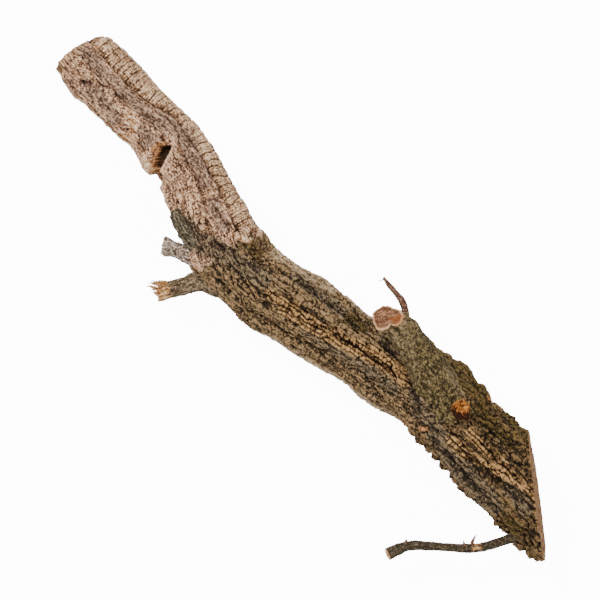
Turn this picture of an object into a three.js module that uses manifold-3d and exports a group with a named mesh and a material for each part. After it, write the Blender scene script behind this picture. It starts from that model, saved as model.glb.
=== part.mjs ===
// A cork oak branch: a crooked limb about half a metre long, sawn off at both ends and covered in
// furrowed cork, with a sawn side limb, three stubs and two thin twigs. It grew as one piece, so it
// is one solid. Millimetres, +Z up. It lies on three low bumps of its bark, as seen from above in
// plan, with the thin end at -X +Y and the thick, mitred end at +X -Y.
import * as THREE from "three";
import { mergeVertices } from "three/addons/utils/BufferGeometryUtils.js";
import Module from "manifold-3d";

const wasm = await Module();
wasm.setup();

// The axis of the limb, from the thin end to past the mitred end: its place, and half its width and
// height there.
const AXIS = [
  { x: -160, y: 177.5, z: 26.5, wide: 21.3, high: 20.5 },
  { x: -145, y: 164, z: 26.5, wide: 22.9, high: 21.0 },
  { x: -125, y: 143.5, z: 26.0, wide: 22.9, high: 21.5 },
  { x: -104, y: 124, z: 26.0, wide: 22.3, high: 21.5 },
  { x: -90, y: 106.5, z: 26.5, wide: 23.5, high: 22.0 },
  { x: -78, y: 90.5, z: 27.5, wide: 24.0, high: 22.5 },
  { x: -70, y: 73, z: 28.5, wide: 25.5, high: 23.5 },
  { x: -60, y: 55, z: 29.5, wide: 26.0, high: 25.0 },
  { x: -50, y: 37.5, z: 30.0, wide: 26.5, high: 26.0 },
  { x: -39, y: 21.5, z: 30.5, wide: 27.7, high: 26.5 },
  { x: -22.5, y: 7.5, z: 30.5, wide: 28.6, high: 26.5 },
  { x: -1.5, y: -6.5, z: 31.0, wide: 28.3, high: 26.0 },
  { x: 20, y: -21, z: 31.5, wide: 26.2, high: 26.0 },
  { x: 44.5, y: -36.5, z: 32.0, wide: 26.5, high: 26.5 },
  { x: 68, y: -53, z: 33.0, wide: 28.0, high: 27.5 },
  { x: 93, y: -68.5, z: 33.5, wide: 29.0, high: 28.5 },
  { x: 115.5, y: -89, z: 33.5, wide: 30.2, high: 29.0 },
  { x: 136, y: -110, z: 33.0, wide: 31.0, high: 29.0 },
  { x: 156.5, y: -133, z: 32.5, wide: 29.5, high: 28.0 },
  { x: 178, y: -157, z: 31.0, wide: 27.6, high: 26.5 },
  { x: 200, y: -181, z: 30.0, wide: 26.5, high: 25.0 },
];

// The saw cuts, and the worn corner at the mitred end's tip: a point on each, and the way it faces.
const THIN_END = { at: [-158.6, 178.3, 26], faces: [-0.56, 0.82, -0.12] };
const MITRED_END = { at: [171.5, -148, 32], faces: [0.972, 0.12, 0.2] };
const WORN_TIP = { at: [173.3, -186.3, 30], faces: [0.62, -0.78, 0] };
const CUT_BEVEL = 5; // how far back from a cut its worn edge reaches
const BEVEL_DEPTH = 1.6;

// The limb's mesh: rows along it, lines round it (drawn closer together on the upper side), and rings
// on its ends.
const ROWS = 86;
const SIDES = 54;
const CROWDING = 0.3;
const CAP_RINGS = 2;

// The cork's ridges: how many lie round the limb, how high they stand on its thin and thick halves,
// and the length and depth of the plates that they break into.
const RIDGE_COUNT = 11;
const RIDGE_HEIGHT = { thin: 1.3, thick: 2.5 };
const PLATE_LENGTH = 23;
const PLATE_DEPTH = 1.3;

// The long furrows that show from above, as lines in plan, with their depth and half-width. The first one
// bounds the cross-cracked band of the thin half.
const FURROWS = [
  {
    depth: 2.6, half: 2.2,
    line: [[-148, 186], [-132, 165.5], [-110, 144], [-88, 131], [-71, 106.5], [-57, 80.5], [-44, 50]],
  },
  { depth: 1.8, half: 2.2, line: [[-158, 154.5], [-149.5, 154.5], [-138, 152], [-124, 140]] },
  { depth: 1.8, half: 2.2, line: [[-85, 108], [-75, 88], [-70, 75], [-65.5, 62], [-65, 52]] },
  { depth: 2.0, half: 2.2, line: [[-63, 38.5], [-51, 36.5], [-43, 28], [-30, 23]] },
  { depth: 2.4, half: 2.4, line: [[-9.5, 5], [-4, -3.5], [8.5, -9], [25, -22], [37, -30]] },
  {
    depth: 2.6, half: 2.4,
    line: [[-42, -8], [-28, -16], [-11.5, -25], [4.5, -33.5], [19, -43.5], [38, -56.5], [56.5, -69.5]],
  },
  { depth: 2.2, half: 2.2, line: [[26, -25], [47, -37.5], [68.5, -52]] },
  { depth: 2.6, half: 2.4, line: [[59, -30], [70, -43], [80, -61], [83, -76]] },
  { depth: 2.4, half: 2.4, line: [[112, -106], [128, -121], [144, -130], [168, -142]] },
  { depth: 2.2, half: 2.2, line: [[128, -101], [144, -117], [155, -127], [168, -137]] },
  { depth: 2.2, half: 2.2, line: [[137, -90], [153, -104], [164, -122]] },
  { depth: 2.2, half: 2.2, line: [[104, -108], [118, -127], [136, -145], [150, -166]] },
];

// How far along the limb the bark changes from thin and cross-cracked to thick.
const COLLAR = { from: 168, to: 196 };

// The notch at the lower left of the thin half: its corners in plan, its depth, and how far its walls slope.
const NOTCH = {
  corners: [[-99, 110], [-102.8, 102], [-104.6, 92.5], [-99.2, 90.5], [-90.2, 110.6]], depth: 7, wall: 3.2,
};

// Oval hollows in the bark: the open mouth of the notch, a pit, the crotch of the side limb.
const HOLLOWS = [
  { x: -103, y: 86.5, long: 7.0, wide: 6.0, turn: 60, depth: 5.0 },
  { x: -23.5, y: -3.5, long: 5.0, wide: 3.0, turn: -40, depth: 2.4 },
  { x: 50, y: -14, long: 16.0, wide: 9.0, turn: -30, depth: 3.5 },
];

// Low swellings: the collar under the stubs, the lip beside the notch, the flare behind the side limb,
// and, with a rise below nought, where the limb is flatter: beside its mitred end and under its left edge.
const SWELLINGS = [
  { x: -70, y: 26, reach: 15, rise: 4.5 },
  { x: -112, y: 98, reach: 8, rise: 2.0 },
  { x: 104, y: -58, reach: 20, rise: 3.0 },
  { x: 151, y: -74, reach: 16, rise: -5.0 },
  { x: 64, y: -83, reach: 12, rise: -2.6 },
];

// The three bumps that the branch lies on, round its weight.
const FEET = [
  { x: -114, y: 148, reach: 13, rise: 9.5 },
  { x: -30, y: 3, reach: 12, rise: 7.5 },
  { x: 143, y: -103, reach: 12, rise: 8.5 },
];

// What grows from the limb: a path of points with a radius each, and the way the broken or sawn end faces.
const OFFSHOOTS = {
  sideLimb: {
    path: [
      [122, -98, 34, 22], [107, -78, 45, 19], [95, -58, 54, 15.8], [85, -42, 61, 13.2],
      [75.5, -27.5, 66.5, 11.2], [67.5, -18, 70.5, 10.3], [60.5, -12.5, 73, 9.6],
    ],
    faces: [-0.46, 0.46, 0.75], sides: 20, rows: 14, ridge: 0.6,
  },
  greyStub: {
    path: [
      [-64, 32, 36, 8], [-75.5, 41, 43, 6.2], [-83, 51, 46, 5.4], [-88.2, 61, 46.5, 4.6],
      [-89.5, 64.5, 46.3, 2.4],
    ],
    faces: [-0.6, 0.75, 0.2], sides: 10, rows: 8, ridge: 0.2,
  },
  middleStub: {
    path: [[-60, 23.5, 32, 9], [-78, 31.5, 33, 6.6], [-88, 35.7, 33.5, 5.6], [-98.5, 39.5, 34, 6.4]],
    faces: [-0.96, 0.2, 0.1], sides: 10, rows: 6, ridge: 0.3,
  },
  brokenStub: {
    path: [
      [-58, 12, 30, 10], [-72, 13.5, 31, 7.4], [-84, 10.2, 32, 6.3], [-97, 6.8, 33, 6.2],
      [-101, 5.2, 33.5, 5.9],
    ],
    faces: [-0.97, 0.15, 0.15], sides: 12, rows: 8, ridge: 0.3,
  },
  knot: {
    path: [[112.2, -81, 57, 6.2], [112.4, -77.5, 63.5, 5.8], [112.6, -74, 69, 5]],
    faces: [0.05, 0.5, 0.86], sides: 10, rows: 4, ridge: 0.4,
  },
  lowTwig: {
    path: [
      [162, -165.5, 37, 4.6], [152, -170, 37.5, 3.6], [140, -174.6, 37, 3.3], [124, -178.2, 36, 3.2],
      [108, -177.6, 35, 3.0], [92, -176.4, 34, 3.3], [78, -176.8, 33, 3.5], [70, -179.6, 32.5, 4.1],
      [63, -183, 32, 4.4],
    ],
    faces: [-0.9, -0.35, 0.25], sides: 8, rows: 22, ridge: 0.15,
  },
  highTwig: {
    path: [
      [74, -22, 66, 4.4], [73.5, -8, 67, 2.6], [71.8, -1.5, 68.5, 2.6], [67.5, 4, 70, 2.0],
      [62.5, 9.5, 71, 1.8], [58, 15.7, 72, 1.0],
    ],
    faces: [-0.7, 0.7, 0.1], sides: 8, rows: 12, ridge: 0.1,
  },
};

// Spikes that narrow from root to tip: a thorn and buds on the low twig, and the torn fibres of the
// broken stub.
const SPIKES = [
  { root: [123, -175.5, 37.5], tip: [126.5, -167, 39.5], radius: 1.1 },
  { root: [118, -176, 37], tip: [117, -171.6, 38.5], radius: 1.3 },
  { root: [76, -174.5, 34.5], tip: [76.5, -171.2, 35.5], radius: 1.6 },
];
const FIBRES = {
  count: 13, at: [-99.5, 6.5, 33.4], towards: [-0.9, 0.38, 0.2],
  spread: 4.6, longest: 10.5, radius: 1.1, lean: 0.2,
};

const smoothstep = (low, high, x) => {
  const t = Math.min(1, Math.max(0, (x - low) / (high - low)));
  return t * t * (3 - 2 * t);
};

// A smooth curve through the given rows of numbers, read by distance along it, with its slope.
function smoothTrack(points) {
  const places = points.map((p) => new THREE.Vector3(p[0], p[1], p[2]));
  const curve = new THREE.CatmullRomCurve3(places, false, "centripetal");
  curve.arcLengthDivisions = 600;
  const length = curve.getLength();
  const knots = points.length - 1;
  const at = (distance) => {
    const u = Math.min(1, Math.max(0, distance / length));
    const t = curve.getUtoTmapping(u);
    const cell = Math.min(knots - 1, Math.floor(t * knots));
    const part = smoothstep(0, 1, t * knots - cell);
    const extra = points[cell].slice(3).map((value, i) => value + (points[cell + 1][3 + i] - value) * part);
    return { point: curve.getPoint(t), tangent: curve.getTangent(t), extra };
  };
  return { length, at };
}

// The two directions square to a tangent: one level, to the right of the way along, and one upward.
function crossAxes(tangent) {
  const side = new THREE.Vector3().crossVectors(new THREE.Vector3(0, 0, 1), tangent).normalize();
  const up = new THREE.Vector3().crossVectors(tangent, side).normalize();
  return { side, up };
}

// How far a plan point lies from a line of plan points.
function planDistance(x, y, line) {
  let nearest = Infinity;
  for (let i = 0; i + 1 < line.length; i++) {
    const [ax, ay] = line[i];
    const dx = line[i + 1][0] - ax;
    const dy = line[i + 1][1] - ay;
    const t = Math.min(1, Math.max(0, ((x - ax) * dx + (y - ay) * dy) / (dx * dx + dy * dy)));
    nearest = Math.min(nearest, Math.hypot(x - ax - t * dx, y - ay - t * dy));
  }
  return nearest;
}

// From 0 to 1: the cross-cracked band on the thin half, on the far side of the first furrow.
function bandShare(along, x, y) {
  const line = FURROWS[0].line;
  const past = line.findIndex((p) => p[0] > x);
  const next = past < 0 ? line.length - 1 : past;
  const [ax, ay] = line[Math.max(0, next - 1)];
  const [bx, by] = line[next];
  const t = Math.min(1, Math.max(0, (x - ax) / Math.max(bx - ax, 1)));
  return smoothstep(-0.5, 2, y - (ay + (by - ay) * t)) * (1 - smoothstep(COLLAR.from, COLLAR.to, along));
}

// The cork's ridges in distance along and angle round: rounded crests with sharp valleys, broken crosswise into
// plates. They fade out in the cross-cracked band.
function ridges(along, angle, x, y) {
  const phase = RIDGE_COUNT * angle + 1.3 * Math.sin(along / 41 + 0.7)
    + 0.9 * Math.sin(along / 23 + 2 * angle + 1.9) + 0.7 * Math.sin(3 * angle - along / 31);
  const crest = Math.abs(Math.sin(phase / 2)) ** 0.7;
  const slant = 2.2 * Math.sin(phase + 1) + 1.3 * Math.sin(2 * angle + along / 50);
  const plate = Math.abs(Math.sin((Math.PI * along) / PLATE_LENGTH + slant / 2)) ** 0.5;
  const height = RIDGE_HEIGHT.thin + (RIDGE_HEIGHT.thick - RIDGE_HEIGHT.thin) * smoothstep(150, 260, along);
  const relief = height * (crest - 0.65) + PLATE_DEPTH * (plate - 0.75);
  return (1 - 0.8 * bandShare(along, x, y)) * relief;
}

// The slow unevenness of the limb itself.
function swell(along, angle) {
  return 0.9 * Math.cos(2 * angle + along / 60) + 0.8 * Math.cos(3 * angle - along / 47 + 1)
    + 0.6 * Math.sin(along / 13 + 2 * angle) + 0.5 * Math.sin(along / 8 - 3 * angle + 2);
}

// From 0 outside to 1 inside the notch: how far a plan point lies within all of its sides.
function notchShare(x, y) {
  const within = NOTCH.corners.map(([ax, ay], i, corners) => {
    const [bx, by] = corners[(i + 1) % corners.length];
    return ((bx - ax) * (y - ay) - (by - ay) * (x - ax)) / Math.hypot(bx - ax, by - ay);
  });
  return smoothstep(-0.3, NOTCH.wall, Math.min(...within));
}

// The relief that is drawn in plan and shows on the upper side.
function drawnRelief(x, y, facing) {
  const upper = smoothstep(-0.25, 0.3, facing);
  let relief = -NOTCH.depth * notchShare(x, y) * smoothstep(-0.7, 0, facing);
  for (const { depth, half, line } of FURROWS) {
    relief -= depth * upper * Math.exp(-((planDistance(x, y, line) / half) ** 2));
  }
  for (const { x: hx, y: hy, long, wide, turn, depth } of HOLLOWS) {
    const c = Math.cos(THREE.MathUtils.degToRad(turn));
    const s = Math.sin(THREE.MathUtils.degToRad(turn));
    const u = ((x - hx) * c + (y - hy) * s) / long;
    const v = ((y - hy) * c - (x - hx) * s) / wide;
    relief -= depth * smoothstep(-0.7, 0, facing) * (1 - smoothstep(0.55, 1.15, Math.hypot(u, v)));
  }
  for (const { x: sx, y: sy, reach, rise } of SWELLINGS) {
    relief += rise * smoothstep(-0.9, 0, facing) * Math.exp(-(((x - sx) ** 2 + (y - sy) ** 2) / reach ** 2));
  }
  return relief;
}

// The bumps under the limb that it rests on.
function footRise(x, y, facing) {
  let rise = 0;
  for (const foot of FEET) {
    rise += foot.rise * Math.exp(-(((x - foot.x) ** 2 + (y - foot.y) ** 2) / foot.reach ** 2));
  }
  return rise * smoothstep(0, 0.8, -facing);
}

const axis = smoothTrack(AXIS.map((p) => [p.x, p.y, p.z, p.wide, p.high]));

// A point of the bare, smooth limb, with the way its surface faces there.
function smoothLimb(along, angle) {
  const { point, tangent, extra: [wide, high] } = axis.at(along);
  const { side, up } = crossAxes(tangent);
  const c = Math.cos(angle);
  const s = Math.sin(angle);
  const spot = point.clone().addScaledVector(side, wide * c).addScaledVector(up, high * s);
  const facing = side.clone().multiplyScalar(high * c).addScaledVector(up, wide * s).normalize();
  return { spot, facing };
}

const planeOf = ({ at, faces }) => {
  const normal = new THREE.Vector3(...faces).normalize();
  return new THREE.Plane().setFromNormalAndCoplanarPoint(normal, new THREE.Vector3(...at));
};

// The distance along the limb at which one of its lines, at a given angle, meets a saw cut.
function distanceToCut(plane, angle, from, to) {
  let inside = from;
  let outside = to;
  for (let i = 0; i < 30; i++) {
    const middle = (inside + outside) / 2;
    if (plane.distanceToPoint(smoothLimb(middle, angle).spot) < 0) inside = middle;
    else outside = middle;
  }
  return (inside + outside) / 2;
}

// A closed surface from rings of points, each end closed by a middle point.
function closedSurface(rings, firstMiddle, lastMiddle) {
  const count = rings[0].length;
  const positions = [...rings.flat(), firstMiddle, lastMiddle].flatMap((p) => [p.x, p.y, p.z]);
  const first = rings.length * count;
  const last = first + 1;
  const index = [];
  for (let k = 0; k < count; k++) {
    const next = (k + 1) % count;
    index.push(first, next, k);
    index.push(last, (rings.length - 1) * count + k, (rings.length - 1) * count + next);
    for (let r = 0; r + 1 < rings.length; r++) {
      const a = r * count + k;
      const b = r * count + next;
      index.push(a, b, b + count, a, b + count, a + count);
    }
  }
  const geometry = new THREE.BufferGeometry();
  geometry.setAttribute("position", new THREE.Float32BufferAttribute(positions, 3));
  geometry.setIndex(index);
  return geometry;
}

// Rings that close a sawn end: the rim's points drawn in towards the middle, flat on the cut.
function capRings(rim, plane) {
  const middle = rim.reduce((sum, p) => sum.add(p), new THREE.Vector3()).divideScalar(rim.length);
  plane.projectPoint(middle, middle);
  const rings = [];
  for (let r = 1; r < CAP_RINGS; r++) {
    rings.push(rim.map((p) => plane.projectPoint(p.clone().lerp(middle, r / CAP_RINGS), new THREE.Vector3())));
  }
  return { rings, middle };
}

// The limb: rings along its axis between the two cuts, raised and furrowed by the relief, and flat
// where it lies.
function limbGeometry() {
  const thinCut = planeOf(THIN_END);
  const mitre = planeOf(MITRED_END);
  const angles = Array.from({ length: SIDES }, (_, k) => {
    const even = (k / SIDES) * 2 * Math.PI;
    return even + CROWDING * Math.cos(even);
  });
  const middle = axis.length / 2;
  const starts = angles.map((angle) => distanceToCut(thinCut, angle, middle, 0));
  const ends = angles.map((angle) => distanceToCut(mitre, angle, middle, axis.length));
  const rings = [];
  for (let r = 0; r <= ROWS; r++) {
    rings.push(angles.map((angle, k) => {
      const along = starts[k] + ((ends[k] - starts[k]) * r) / ROWS;
      const { spot, facing } = smoothLimb(along, angle);
      const toCut = Math.min(along - starts[k], ends[k] - along);
      const bevel = BEVEL_DEPTH * (1 - smoothstep(0, CUT_BEVEL, toCut));
      const relief = ridges(along, angle, spot.x, spot.y) + swell(along, angle)
        + drawnRelief(spot.x, spot.y, facing.z) + footRise(spot.x, spot.y, facing.z) - bevel;
      const raised = spot.addScaledVector(facing, relief);
      if (r === 0) thinCut.projectPoint(raised, raised);
      if (r === ROWS) mitre.projectPoint(raised, raised);
      raised.z = Math.max(0, raised.z);
      return raised;
    }));
  }
  const thin = capRings(rings[0], thinCut);
  const thick = capRings(rings[ROWS], mitre);
  return closedSurface([...thin.rings.reverse(), ...rings, ...thick.rings], thin.middle, thick.middle);
}

// A stub, twig or side limb: rings along its own path, lightly ridged, its end cut to face a given way.
function offshootGeometry({ path, faces, sides, rows, ridge }) {
  const track = smoothTrack(path);
  const end = planeOf({ at: path[path.length - 1].slice(0, 3), faces });
  const rings = [];
  for (let r = 0; r <= rows; r++) {
    const { point, tangent, extra: [radius] } = track.at((track.length * r) / rows);
    const { side, up } = crossAxes(tangent);
    const ring = [];
    for (let k = 0; k < sides; k++) {
      const angle = (k / sides) * 2 * Math.PI;
      const uneven = ridge * (Math.sin(3 * angle + r * 0.5) + Math.sin(5 * angle - r * 0.9 + 1) * 0.7);
      const reach = radius + uneven;
      const across = point.clone().addScaledVector(side, reach * Math.cos(angle));
      ring.push(across.addScaledVector(up, reach * Math.sin(angle)));
    }
    if (r === rows) {
      ring.forEach((p) => p.addScaledVector(tangent, -end.distanceToPoint(p) / end.normal.dot(tangent)));
    }
    rings.push(ring);
  }
  const middles = [rings[0], rings[rows]].map((ring) =>
    ring.reduce((sum, p) => sum.add(p), new THREE.Vector3()).divideScalar(sides));
  return closedSurface(rings, middles[0], middles[1]);
}

// A four-sided spike from a root point to a tip.
function spikeGeometry({ root, tip, radius }) {
  const from = new THREE.Vector3(...root);
  const way = new THREE.Vector3(...tip).sub(from);
  const spike = new THREE.ConeGeometry(radius, way.length(), 4, 1);
  spike.translate(0, way.length() / 2, 0);
  const turn = new THREE.Quaternion().setFromUnitVectors(new THREE.Vector3(0, 1, 0), way.clone().normalize());
  spike.applyQuaternion(turn);
  return spike.translate(from.x, from.y, from.z);
}

// The torn fibres: spikes fanned over the broken face by the golden angle, so that no two lie alike.
function fibreSpikes({ count, at, spread, longest, radius, lean, towards }) {
  const way = new THREE.Vector3(...towards).normalize();
  const { side, up } = crossAxes(way);
  const goldenAngle = Math.PI * (3 - Math.sqrt(5));
  return Array.from({ length: count }, (_, i) => {
    const out = spread * Math.sqrt((i + 0.5) / count);
    const turn = i * goldenAngle;
    const outward = side.clone().multiplyScalar(Math.cos(turn)).addScaledVector(up, Math.sin(turn));
    const root = new THREE.Vector3(...at).addScaledVector(outward, out);
    const length = longest * (0.55 + 0.45 * Math.sin(i * 2.4) ** 2);
    const fan = way.clone().addScaledVector(outward, lean).normalize();
    return { root: root.toArray(), tip: root.clone().addScaledVector(fan, length).toArray(), radius };
  });
}

// A three.js geometry as a solid that can be joined.
function solidOf(geometry) {
  const bare = geometry.clone();
  bare.deleteAttribute("normal");
  bare.deleteAttribute("uv");
  const merged = mergeVertices(bare, 1e-4);
  return new wasm.Manifold(new wasm.Mesh({
    numProp: 3,
    vertProperties: new Float32Array(merged.attributes.position.array),
    triVerts: new Uint32Array(merged.index.array),
  }));
}

function geometryOf(solid) {
  const { vertProperties, triVerts } = solid.getMesh();
  const geometry = new THREE.BufferGeometry();
  geometry.setAttribute("position", new THREE.Float32BufferAttribute(vertProperties, 3));
  geometry.setIndex(new THREE.BufferAttribute(triVerts, 1));
  geometry.computeVertexNormals();
  return geometry;
}

// What is left of a solid on the hidden side of a plane.
function trimmed(solid, plane) {
  return solid.trimByPlane(plane.normal.clone().negate().toArray(), plane.constant);
}

const limb = [MITRED_END, WORN_TIP].map(planeOf).reduce(trimmed, solidOf(limbGeometry()));
const grown = [
  ...Object.values(OFFSHOOTS).map(offshootGeometry),
  ...[...SPIKES, ...fibreSpikes(FIBRES)].map(spikeGeometry),
];
const whole = grown.map(solidOf).reduce((sum, piece) => sum.add(piece), limb);

const cork = new THREE.MeshStandardMaterial({ color: 0x857059, roughness: 0.92, metalness: 0 });
const branch = new THREE.Mesh(geometryOf(whole), cork);
branch.name = "branch";

// The plan above is drawn about a mark near the middle; here the middle of the branch's box goes to x = y = 0.
branch.geometry.computeBoundingBox();
const middleOfBox = branch.geometry.boundingBox.getCenter(new THREE.Vector3());
branch.geometry.translate(-middleOfBox.x, -middleOfBox.y, 0);

const group = new THREE.Group();
group.add(branch);

export default group;
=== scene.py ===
"""Dresses the cork oak branch in finely cracked cork, with a sawn side limb, stubs, torn wood and twigs.

All shapes are worked out in millimetres on the branch's plan, seen from above, and put into meshes in metres.
"""

import functools
import itertools
import math

import bpy
import numpy as np
from bpy.props import FloatProperty, FloatVectorProperty, PointerProperty
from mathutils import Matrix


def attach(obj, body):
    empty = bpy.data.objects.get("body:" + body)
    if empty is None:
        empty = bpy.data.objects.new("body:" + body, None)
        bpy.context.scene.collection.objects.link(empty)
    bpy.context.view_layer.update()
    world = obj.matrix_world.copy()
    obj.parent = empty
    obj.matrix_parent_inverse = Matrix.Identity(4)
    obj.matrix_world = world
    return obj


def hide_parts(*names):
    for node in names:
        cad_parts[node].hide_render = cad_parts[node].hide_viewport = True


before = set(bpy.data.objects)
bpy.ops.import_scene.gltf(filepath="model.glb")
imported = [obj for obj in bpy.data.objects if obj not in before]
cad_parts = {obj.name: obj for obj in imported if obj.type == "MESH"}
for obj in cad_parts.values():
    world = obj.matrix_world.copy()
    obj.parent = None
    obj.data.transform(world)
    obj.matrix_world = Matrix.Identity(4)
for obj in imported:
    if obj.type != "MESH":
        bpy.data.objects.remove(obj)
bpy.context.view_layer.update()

bl_info = {
    "name": "Cork oak branch",
    "version": (1, 0, 0),
    "blender": (4, 5, 0),
    "location": "3D View > Sidebar > Branch",
    "description": "Builds the bark, wood and twigs of a cork oak branch over its CAD frame",
    "category": "Add Mesh",
}

NODE = "branch"
BODY = "root"
MM = 0.001
UP = np.array([0.0, 0.0, 1.0])
GOLDEN_ANGLE = math.pi * (3 - math.sqrt(5))
TURN = 2 * math.pi

# The camera's sensor, and the height at which its picture has the plan's scale, in millimetres.
SENSOR_WIDTH = 36
LIMB_HEIGHT = 31

# How light a spike is, as the crest mark of its points.
SPIKE_CREST = 0.6

# The plan is drawn about a mark near the branch's middle; the frame's origin is at the middle of its box.
PLAN_SHIFT = np.array([-1.996, -0.444, 0.0])

# The limb's axis from its thin end to past its mitred end: place, half-width, half-height.
AXIS = [
    (-160, 177.5, 26.5, 21.3, 20.5),
    (-145, 164, 26.5, 22.9, 21.0),
    (-125, 143.5, 26.0, 22.9, 21.5),
    (-104, 124, 26.0, 22.3, 21.5),
    (-90, 106.5, 26.5, 23.5, 22.0),
    (-78, 90.5, 27.5, 24.0, 22.5),
    (-70, 73, 28.5, 25.5, 23.5),
    (-60, 55, 29.5, 26.0, 25.0),
    (-50, 37.5, 30.0, 26.5, 26.0),
    (-39, 21.5, 30.5, 27.7, 26.5),
    (-22.5, 7.5, 30.5, 28.6, 26.5),
    (-1.5, -6.5, 31.0, 28.3, 26.0),
    (20, -21, 31.5, 26.2, 26.0),
    (44.5, -36.5, 32.0, 26.5, 26.5),
    (68, -53, 33.0, 28.0, 27.5),
    (93, -68.5, 33.5, 29.0, 28.5),
    (115.5, -89, 33.5, 30.2, 29.0),
    (136, -110, 33.0, 31.0, 29.0),
    (156.5, -133, 32.5, 29.5, 28.0),
    (178, -157, 31.0, 27.6, 26.5),
    (200, -181, 30.0, 26.5, 25.0),
]

# The saw cuts of the limb: a point on each and the way it faces.
THIN_END = ((-158.6, 178.3, 26), (-0.56, 0.82, -0.12))
MITRED_END = ((171.5, -148, 32), (0.972, 0.12, 0.2))
CUT_BEVEL = 5.0
BEVEL_DEPTH = 1.6

# The cork's ridges, as in the solid.
RIDGE_COUNT = 11
RIDGE_HEIGHT = (1.3, 2.5)
PLATE_LENGTH = 23.0
PLATE_DEPTH = 1.3

# Long furrows: depth, half-width, and the line in plan.
FURROWS = [
    (2.6, 2.2, [(-148, 186), (-132, 165.5), (-110, 144), (-88, 131), (-71, 106.5), (-57, 80.5), (-44, 50)]),
    (1.8, 2.2, [(-158, 154.5), (-149.5, 154.5), (-138, 152), (-124, 140)]),
    (1.8, 2.2, [(-85, 108), (-75, 88), (-70, 75), (-65.5, 62), (-65, 52)]),
    (2.0, 2.2, [(-63, 38.5), (-51, 36.5), (-43, 28), (-30, 23)]),
    (2.4, 2.4, [(-9.5, 5), (-4, -3.5), (8.5, -9), (25, -22), (37, -30)]),
    (2.6, 2.4, [(-42, -8), (-28, -16), (-11.5, -25), (4.5, -33.5), (19, -43.5), (38, -56.5), (56.5, -69.5)]),
    (2.2, 2.2, [(26, -25), (47, -37.5), (68.5, -52)]),
    (2.6, 2.4, [(59, -30), (70, -43), (80, -61), (83, -76)]),
    (2.4, 2.4, [(112, -106), (128, -121), (144, -130), (168, -142)]),
    (2.2, 2.2, [(128, -101), (144, -117), (155, -127), (168, -137)]),
    (2.2, 2.2, [(137, -90), (153, -104), (164, -122)]),
    (2.2, 2.2, [(104, -108), (118, -127), (136, -145), (150, -166)]),
]

# The notch: its corners in plan, its depth, how far its walls slope, its middle and the way across it.
NOTCH = [(-99.0, 110), (-102.8, 102), (-104.6, 92.5), (-99.2, 90.5), (-90.2, 110.6)]
NOTCH_DEPTH = 8.0
NOTCH_WALL = 2.0
NOTCH_MIDDLE = np.array([-98.2, 101.0])
NOTCH_ACROSS = np.array([0.932, -0.362])

# The worn corner at the mitred end's tip: a point on it and the way it faces.
WORN_TIP = ((173.3, -186.3, 30), (0.62, -0.78, 0))

# Other hollows: place, half-length, half-width, turn in degrees, depth.
HOLLOWS = [(-103, 86.5, 7.0, 6.0, 60, 5.0), (-23.5, -3.5, 5.0, 3.0, -40, 2.4), (50, -14, 16.0, 9.0, -30, 3.5)]

# Swellings, and with a rise below nought flatter places: place, reach, rise.
SWELLINGS = [
    (-70, 26, 15, 4.5),
    (-112, 98, 8, 2.0),
    (104, -58, 20, 3.0),
    (151, -74, 16, -5.0),
    (64, -83, 12, -2.6),
]

# The three bumps that the branch lies on: place, reach, rise.
FEET = [(-114, 148, 13, 9.5), (-30, 3, 12, 7.5), (143, -103, 12, 8.5)]

# How far along the limb the bark changes from thin, pale and cross-cracked to dark and knobbly.
COLLAR = (168.0, 196.0)

# Where, along the limb, the ridges grow, the calm lower edge starts, the thick end's cork deepens, its tones
# darken and its flank turns knobbly.
RIDGES_GROW = (150, 260)
CALM_EDGE = (215, 250)
DEEP_CORK = (320, 390)
DARK_TONES = (330, 400)
KNOBBLY = (330, 360)

# Textures run along a plain cylinder of the limb's mean radius. Round it go rows of bricks and rows of cubes,
# and the band's bars are this far apart.
FLOW_RADIUS = 26
BRICK_ROWS = 36
CUBE_ROWS = 56
BAR_STEP = 6.0
LIMB_GIRTH = 160

# The lengths of the limb: piece, where it starts and ends as shares of the whole, rows and columns of points.
LIMB_PARTS = [
    ("limb_thin_part", 0.0, 0.34, 300, 290),
    ("limb_middle_part", 0.34, 0.66, 296, 310),
    ("limb_thick_part", 0.66, 1.0, 268, 310),
]

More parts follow.
